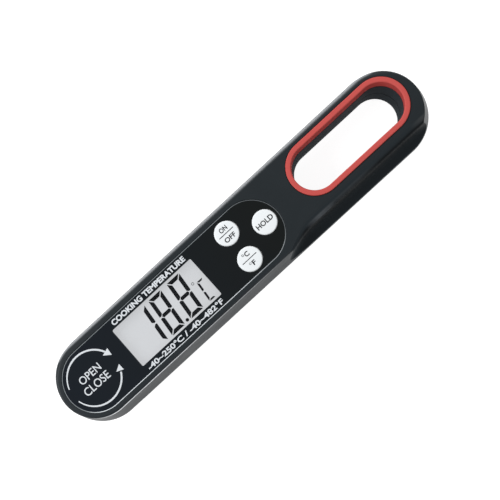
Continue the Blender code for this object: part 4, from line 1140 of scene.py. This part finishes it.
# ---- keys -------------------------------------------------------------------------------------------------------------
def keys():
    top = BUTTON_TOP - 0.02
    legends = {
        "power_button": [("ON", (-1.5, 1.5, 0.95, 2.72)), ("OFF", (-2.2, 2.2, -2.72, -1.0))],
        "unit_button": [("C", (-0.45, 1.15, 1.1, 2.85)), ("F", (-0.25, 1.0, -2.65, -0.95))],
        "hold_button": [("HOLD", (-3.4, 3.4, -0.95, 0.9))],
    }
    for name, (x, y) in BUTTONS.items():
        prof = [(0.0, 13.45), (1.6, 13.45), (1.6, 15.1), (5.0, 15.1), (5.0, 16.2), (BUTTON_R, 16.2), (BUTTON_R, top - 0.5)]
        for i in range(1, 8):
            a = math.radians(90 * i / 7)
            prof.append((BUTTON_R - 0.42 * (1 - math.cos(a)), top - 0.5 + 0.42 * math.sin(a)))
        prof += [(3.2, top - 0.04), (1.6, top - 0.01), (0.0, top)]
        ob = from_bm(name + "_cap", revolve(prof, 96, (x, y, 0)), M_KEY, 40)
        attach(ob, name)
        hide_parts(name)
        bm = bmesh.new()
        z = top + 0.001
        for text, (x0, x1, y0, y1) in legends[name]:
            add_text(bm, text, (x + x0, x + x1, y + y0, y + y1), z, 0.022, thick=0.015)
        if name != "hold_button":
            flat_solid(bm, [(x - 3.1, y + 0.03), (x + 3.1, y + 0.03), (x + 3.1, y + 0.29), (x - 3.1, y + 0.29)], z, 0.015)
        if name == "unit_button":
            for dx, dy in ((-1.05, 2.45), (-0.95, -1.3)):
                band(bm, ring_of(x + dx, y + dy, 0.40, 24), ring_of(x + dx, y + dy, 0.26, 24), z, 0.015)
        ob = from_bm(name + "_legend", bm, M_LEGEND, 30)
        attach(ob, name)


keys()


# ---- probe ------------------------------------------------------------------------------------------------------------
def probe():
    r = 0.4
    secs = []
    for i in range(6, -1, -1):
        a = math.radians(90 * i / 6)
        secs.append((ring_of(HUB_X, HUB_Y, HUB_R - r * (1 - math.cos(a)), 200), HUB_Z0 + r - r * math.sin(a)))
    for i in range(0, 7):
        a = math.radians(90 * i / 6)
        secs.append((ring_of(HUB_X, HUB_Y, HUB_R - r * (1 - math.cos(a)), 200), HUB_Z1 - r + r * math.sin(a)))
    ob = from_bm("probe_hub_smooth", loft(secs))
    washer = loft([(ring_of(HUB_X, HUB_Y, q, 64), z) for q, z in ((3.5, 3.0), (6.6, 3.0), (6.6, 4.6), (3.5, 4.6))], closed=True)
    seat = revolve([(0, 0), (1.85, 0), (1.85, 40.5), (0, 40.5)], 48, (-64.2, STEM_Y, STEM_Z), "X")
    cap = (HUB_X - 1.4, HUB_X + 4.0, -9.5, -3.8)
    carve(ob, [(ADD, cylinder(HUB_X, HUB_Y, 2.2, 11.0, 3.5, 64)),
               (CUT, washer),
               (CUT, cylinder(HUB_X, HUB_Y, 0.0, 6.0, 1.4, 32)),
               (CUT, cylinder(HUB_X, HUB_Y, 5.2, 12.0, 2.4, 48)),
               (CUT, seat),
               (CUT, block(HUB_X + 0.2, HUB_X + 2.4, STEM_Y - 0.9, -0.6, 5.5, 7.45)),
               (CUT, block(HUB_X + 0.2, HUB_X + 2.4, -8.8, -4.3, 6.5, 8.1)),
               (CUT, loft([(box_outline(cap, 0, 0.8), 7.8), (box_outline(cap, 0, 0.8), 9.5)])),
               (CUT, arc_block(HUB_X, HUB_Y, 8.6, 10.6, -22.0, 174.0, 3.0, 5.0, 80))])
    ob.data.materials.append(M_HUB)
    shade(ob, 35, True)
    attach(ob, "probe")
    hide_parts("probe_hub")

    x0, tip = stem_lo[0], stem_hi[0]
    prof = [(0.0, tip), (0.06, tip - 0.03), (0.16, tip - 0.18), (0.9, tip - 3.7), (0.945, tip - 4.1), (0.95, tip - 4.6)]
    prof += [(0.95, 33.6)]
    for i in range(1, 12):                              # smooth swage from the thin tip up to the stem
        t = i / 12
        s = t * t * (3 - 2 * t)
        prof.append((0.95 + 0.75 * s, 33.6 - 3.8 * t))
    prof += [(1.7, 29.8), (1.7, x0 + 0.15), (1.64, x0 + 0.04), (1.55, x0), (1.2, x0), (1.2, 29.5), (0.55, 33.0), (0.55, tip - 4.6), (0.0, tip - 4.8)]
    ob = from_bm("probe_stem_smooth", revolve(prof, 64, (0, STEM_Y, STEM_Z), "X"), M_STEEL, 35)
    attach(ob, "probe")
    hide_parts("probe_stem")

    lo, hi = mm_box("hub_cap")
    ob = from_bm("hub_cap_smooth", rounded_block(lo[0], hi[0], lo[1], hi[1], lo[2], hi[2], 0.12), M_HUB, 35)
    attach(ob, "probe")
    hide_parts("hub_cap")


probe()


# ---- battery door -----------------------------------------------------------------------------------------------------
def battery_door():
    f = 0.25
    secs = []
    for i in range(5, -1, -1):
        a = math.radians(90 * i / 5)
        secs.append((ring_of(CELL_X, CELL_Y, DOOR_R - f * (1 - math.cos(a)), 144), f - f * math.sin(a)))
    secs.append((ring_of(CELL_X, CELL_Y, DOOR_R, 144), door_hi[2]))
    ob = from_bm("battery_door_smooth", loft(secs))
    steps = [(ADD, arc_block(CELL_X, CELL_Y, 10.0, DOOR_R + 0.95, a - 6.0, a + 6.0, 0.95, 1.45, 10)) for a in (0.0, 180.0)]
    steps.append((CUT, pocket_down(lambda g: outline(CELL_X - 6.5 - g, CELL_X + 6.5 + g, CELL_Y - 0.9 - g, CELL_Y + 0.9 + g, 0.9 + g, k=12), 0.8, 0.0, 0.2)))
    steps.append((CUT, loft([(ring_of(CELL_X, CELL_Y, q, 144), z) for q, z in ((8.95, -0.5), (9.25, -0.5), (9.12, 0.14), (9.08, 0.14))], closed=True)))
    steps.append((CUT, pocket_down(lambda g: ring_of(CELL_X, CELL_Y + 7.9, 0.45 + g, 24), 0.25, 0.0, 0.08)))
    carve(ob, steps)
    ob.data.materials.append(M_DOOR)
    shade(ob, 35, True)
    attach(ob, "battery_door")
    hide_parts("battery_door")


battery_door()


# ---- screws -----------------------------------------------------------------------------------------------------------
def screw(name, x, y, z_head, head_h, head_r, shank_r, z_tip, body="handle"):
    r = head_r
    prof = [(0.0, z_tip), (shank_r * 0.12, z_tip - 0.05), (shank_r * 0.45, z_tip - 0.35), (shank_r * 0.8, z_tip - 0.9)]
    z, pitch = z_tip - 1.1, 0.6
    bottom = z_head + head_h + 0.15
    while z - pitch > bottom:                            # thread ridges as fine turned grooves
        prof += [(shank_r, z), (shank_r, z - pitch * 0.25), (shank_r * 0.78, z - pitch * 0.55), (shank_r * 0.78, z - pitch * 0.8)]
        z -= pitch
    prof += [(shank_r, z), (shank_r, z_head + head_h), (r - 0.08, z_head + head_h), (r, z_head + head_h - 0.08), (r, z_head + 0.35 * head_h)]
    for i in range(1, 7):
        a = math.radians(90 * i / 6)
        prof.append((r * (0.72 + 0.28 * math.cos(a)), z_head + 0.35 * head_h * (1 - math.sin(a))))
    prof += [(0.0, z_head)]
    ob = from_bm(name + "_fine", revolve(prof, 40, (x, y, 0)))
    w, l, d = 0.13 * r, 0.56 * r, min(0.55 * head_h, 0.8)
    cross = [(CUT, loft([[(x + sx * l * k1, y + sy * w * k1, zz) for sx, sy in ((-1, -1), (1, -1), (1, 1), (-1, 1))] for k1, zz in ((1.0, z_head - 1), (1.0, z_head + 0.02), (0.45, z_head + d))])),
             (CUT, loft([[(x + sx * w * k1, y + sy * l * k1, zz) for sx, sy in ((-1, -1), (1, -1), (1, 1), (-1, 1))] for k1, zz in ((1.0, z_head - 1), (1.0, z_head + 0.02), (0.45, z_head + d * 0.98))]))]
    carve(ob, cross)
    ob.data.materials.append(M_SCREW)
    shade(ob, 35)
    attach(ob, body)
    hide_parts(name)


lo, hi = mm_box("pivot_screw")
screw("pivot_screw", HUB_X, HUB_Y, lo[2], 0.85, 2.3, 0.88, hi[2])
for n, (x, y) in CASE_SCREWS.items():
    lo, hi = mm_box(n)
    screw(n, x, y, lo[2], 1.4, 1.9, 0.82, hi[2])
for n, (x, y) in BOARD_SCREWS.items():
    lo, hi = mm_box(n)
    screw(n, x, y, lo[2], 1.0, 1.5, 0.72, hi[2])


# ---- nodes that keep their own solids ---------------------------------------------------------------------------------
for names, mat in ((("display_module",), M_LCD), (("display_window",), M_LENS), (("circuit_board",), M_BOARD), (("controller_chip",), M_RESIN),
                   (("contact_strip_lower", "contact_strip_upper", "keypad", "door_seal"), M_SILICONE), (("filter_capacitor",), M_CERAMIC),
                   (("coin_cell", "quartz_crystal"), M_CELL), (("minus_contact", "plus_contact", "friction_washer"), M_SHEET),
                   (("front_pivot_bush", "rear_pivot_bush"), M_BRASS), (("probe_lead", "board_lead"), M_WIRE), (("temperature_sensor",), M_BEAD)):
    for n in names:
        ob = NODES[n]
        if ob.material_slots:
            for s in ob.material_slots:
                s.material = mat
        else:
            ob.data.materials.append(mat)


# ---- floor and light --------------------------------------------------------------------------------------------------
def floor():
    bm = bmesh.new()
    bmesh.ops.create_grid(bm, x_segments=1, y_segments=1, size=1500)
    bmesh.ops.translate(bm, verts=bm.verts, vec=(0, 0, -0.05))
    m, nt, b = new_material("studio_floor")
    slow = noise(nt, place_of(nt), 120.0, 2)
    nt.links.new(mix_colour(nt, slow, (0.36, 0.36, 0.36), (0.40, 0.40, 0.40)), b.inputs["Base Color"])
    b.inputs["Roughness"].default_value = 0.9
    b.inputs["Specular IOR Level"].default_value = 0.1
    b.inputs["Emission Color"].default_value = (1, 1, 1, 1)
    far = put(nt, "ShaderNodeVectorMath", operation="LENGTH")
    tc = put(nt, "ShaderNodeTexCoord")
    nt.links.new(tc.outputs["Object"], far.inputs[0])
    nt.links.new(spread(nt, far.outputs["Value"], 0.91, 0.22, 0.16, 0.55), b.inputs["Emission Strength"])
    ob = from_bm("studio_floor", bm, m)


floor()


def area(name, at, size, watts, colour=(1, 1, 1), aim=(0, 0, 10)):
    li = bpy.data.lights.new(name, "AREA")
    li.shape = "RECTANGLE"
    li.size, li.size_y = size[0] * MM, size[1] * MM
    li.energy = watts
    li.color = colour
    ob = bpy.data.objects.new(name, li)
    ob.location = Vector(at) * MM
    ob.rotation_euler = (Vector(aim) - Vector(at)).to_track_quat("-Z", "Y").to_euler()
    bpy.context.scene.collection.objects.link(ob)
    return ob


area("softbox_left", (-620, 260, 560), (520, 520), 5.0, (0.94, 0.97, 1.0))
area("softbox_back", (160, 700, 520), (700, 360), 5.0)
area("softbox_front", (90, -560, 640), (260, 200), 1.3)

world = bpy.data.worlds.new("studio")
bpy.context.scene.world = world
world.use_nodes = True
world.node_tree.nodes["Background"].inputs["Color"].default_value = (0.97, 0.985, 1.0, 1.0)
world.node_tree.nodes["Background"].inputs["Strength"].default_value = 0.42
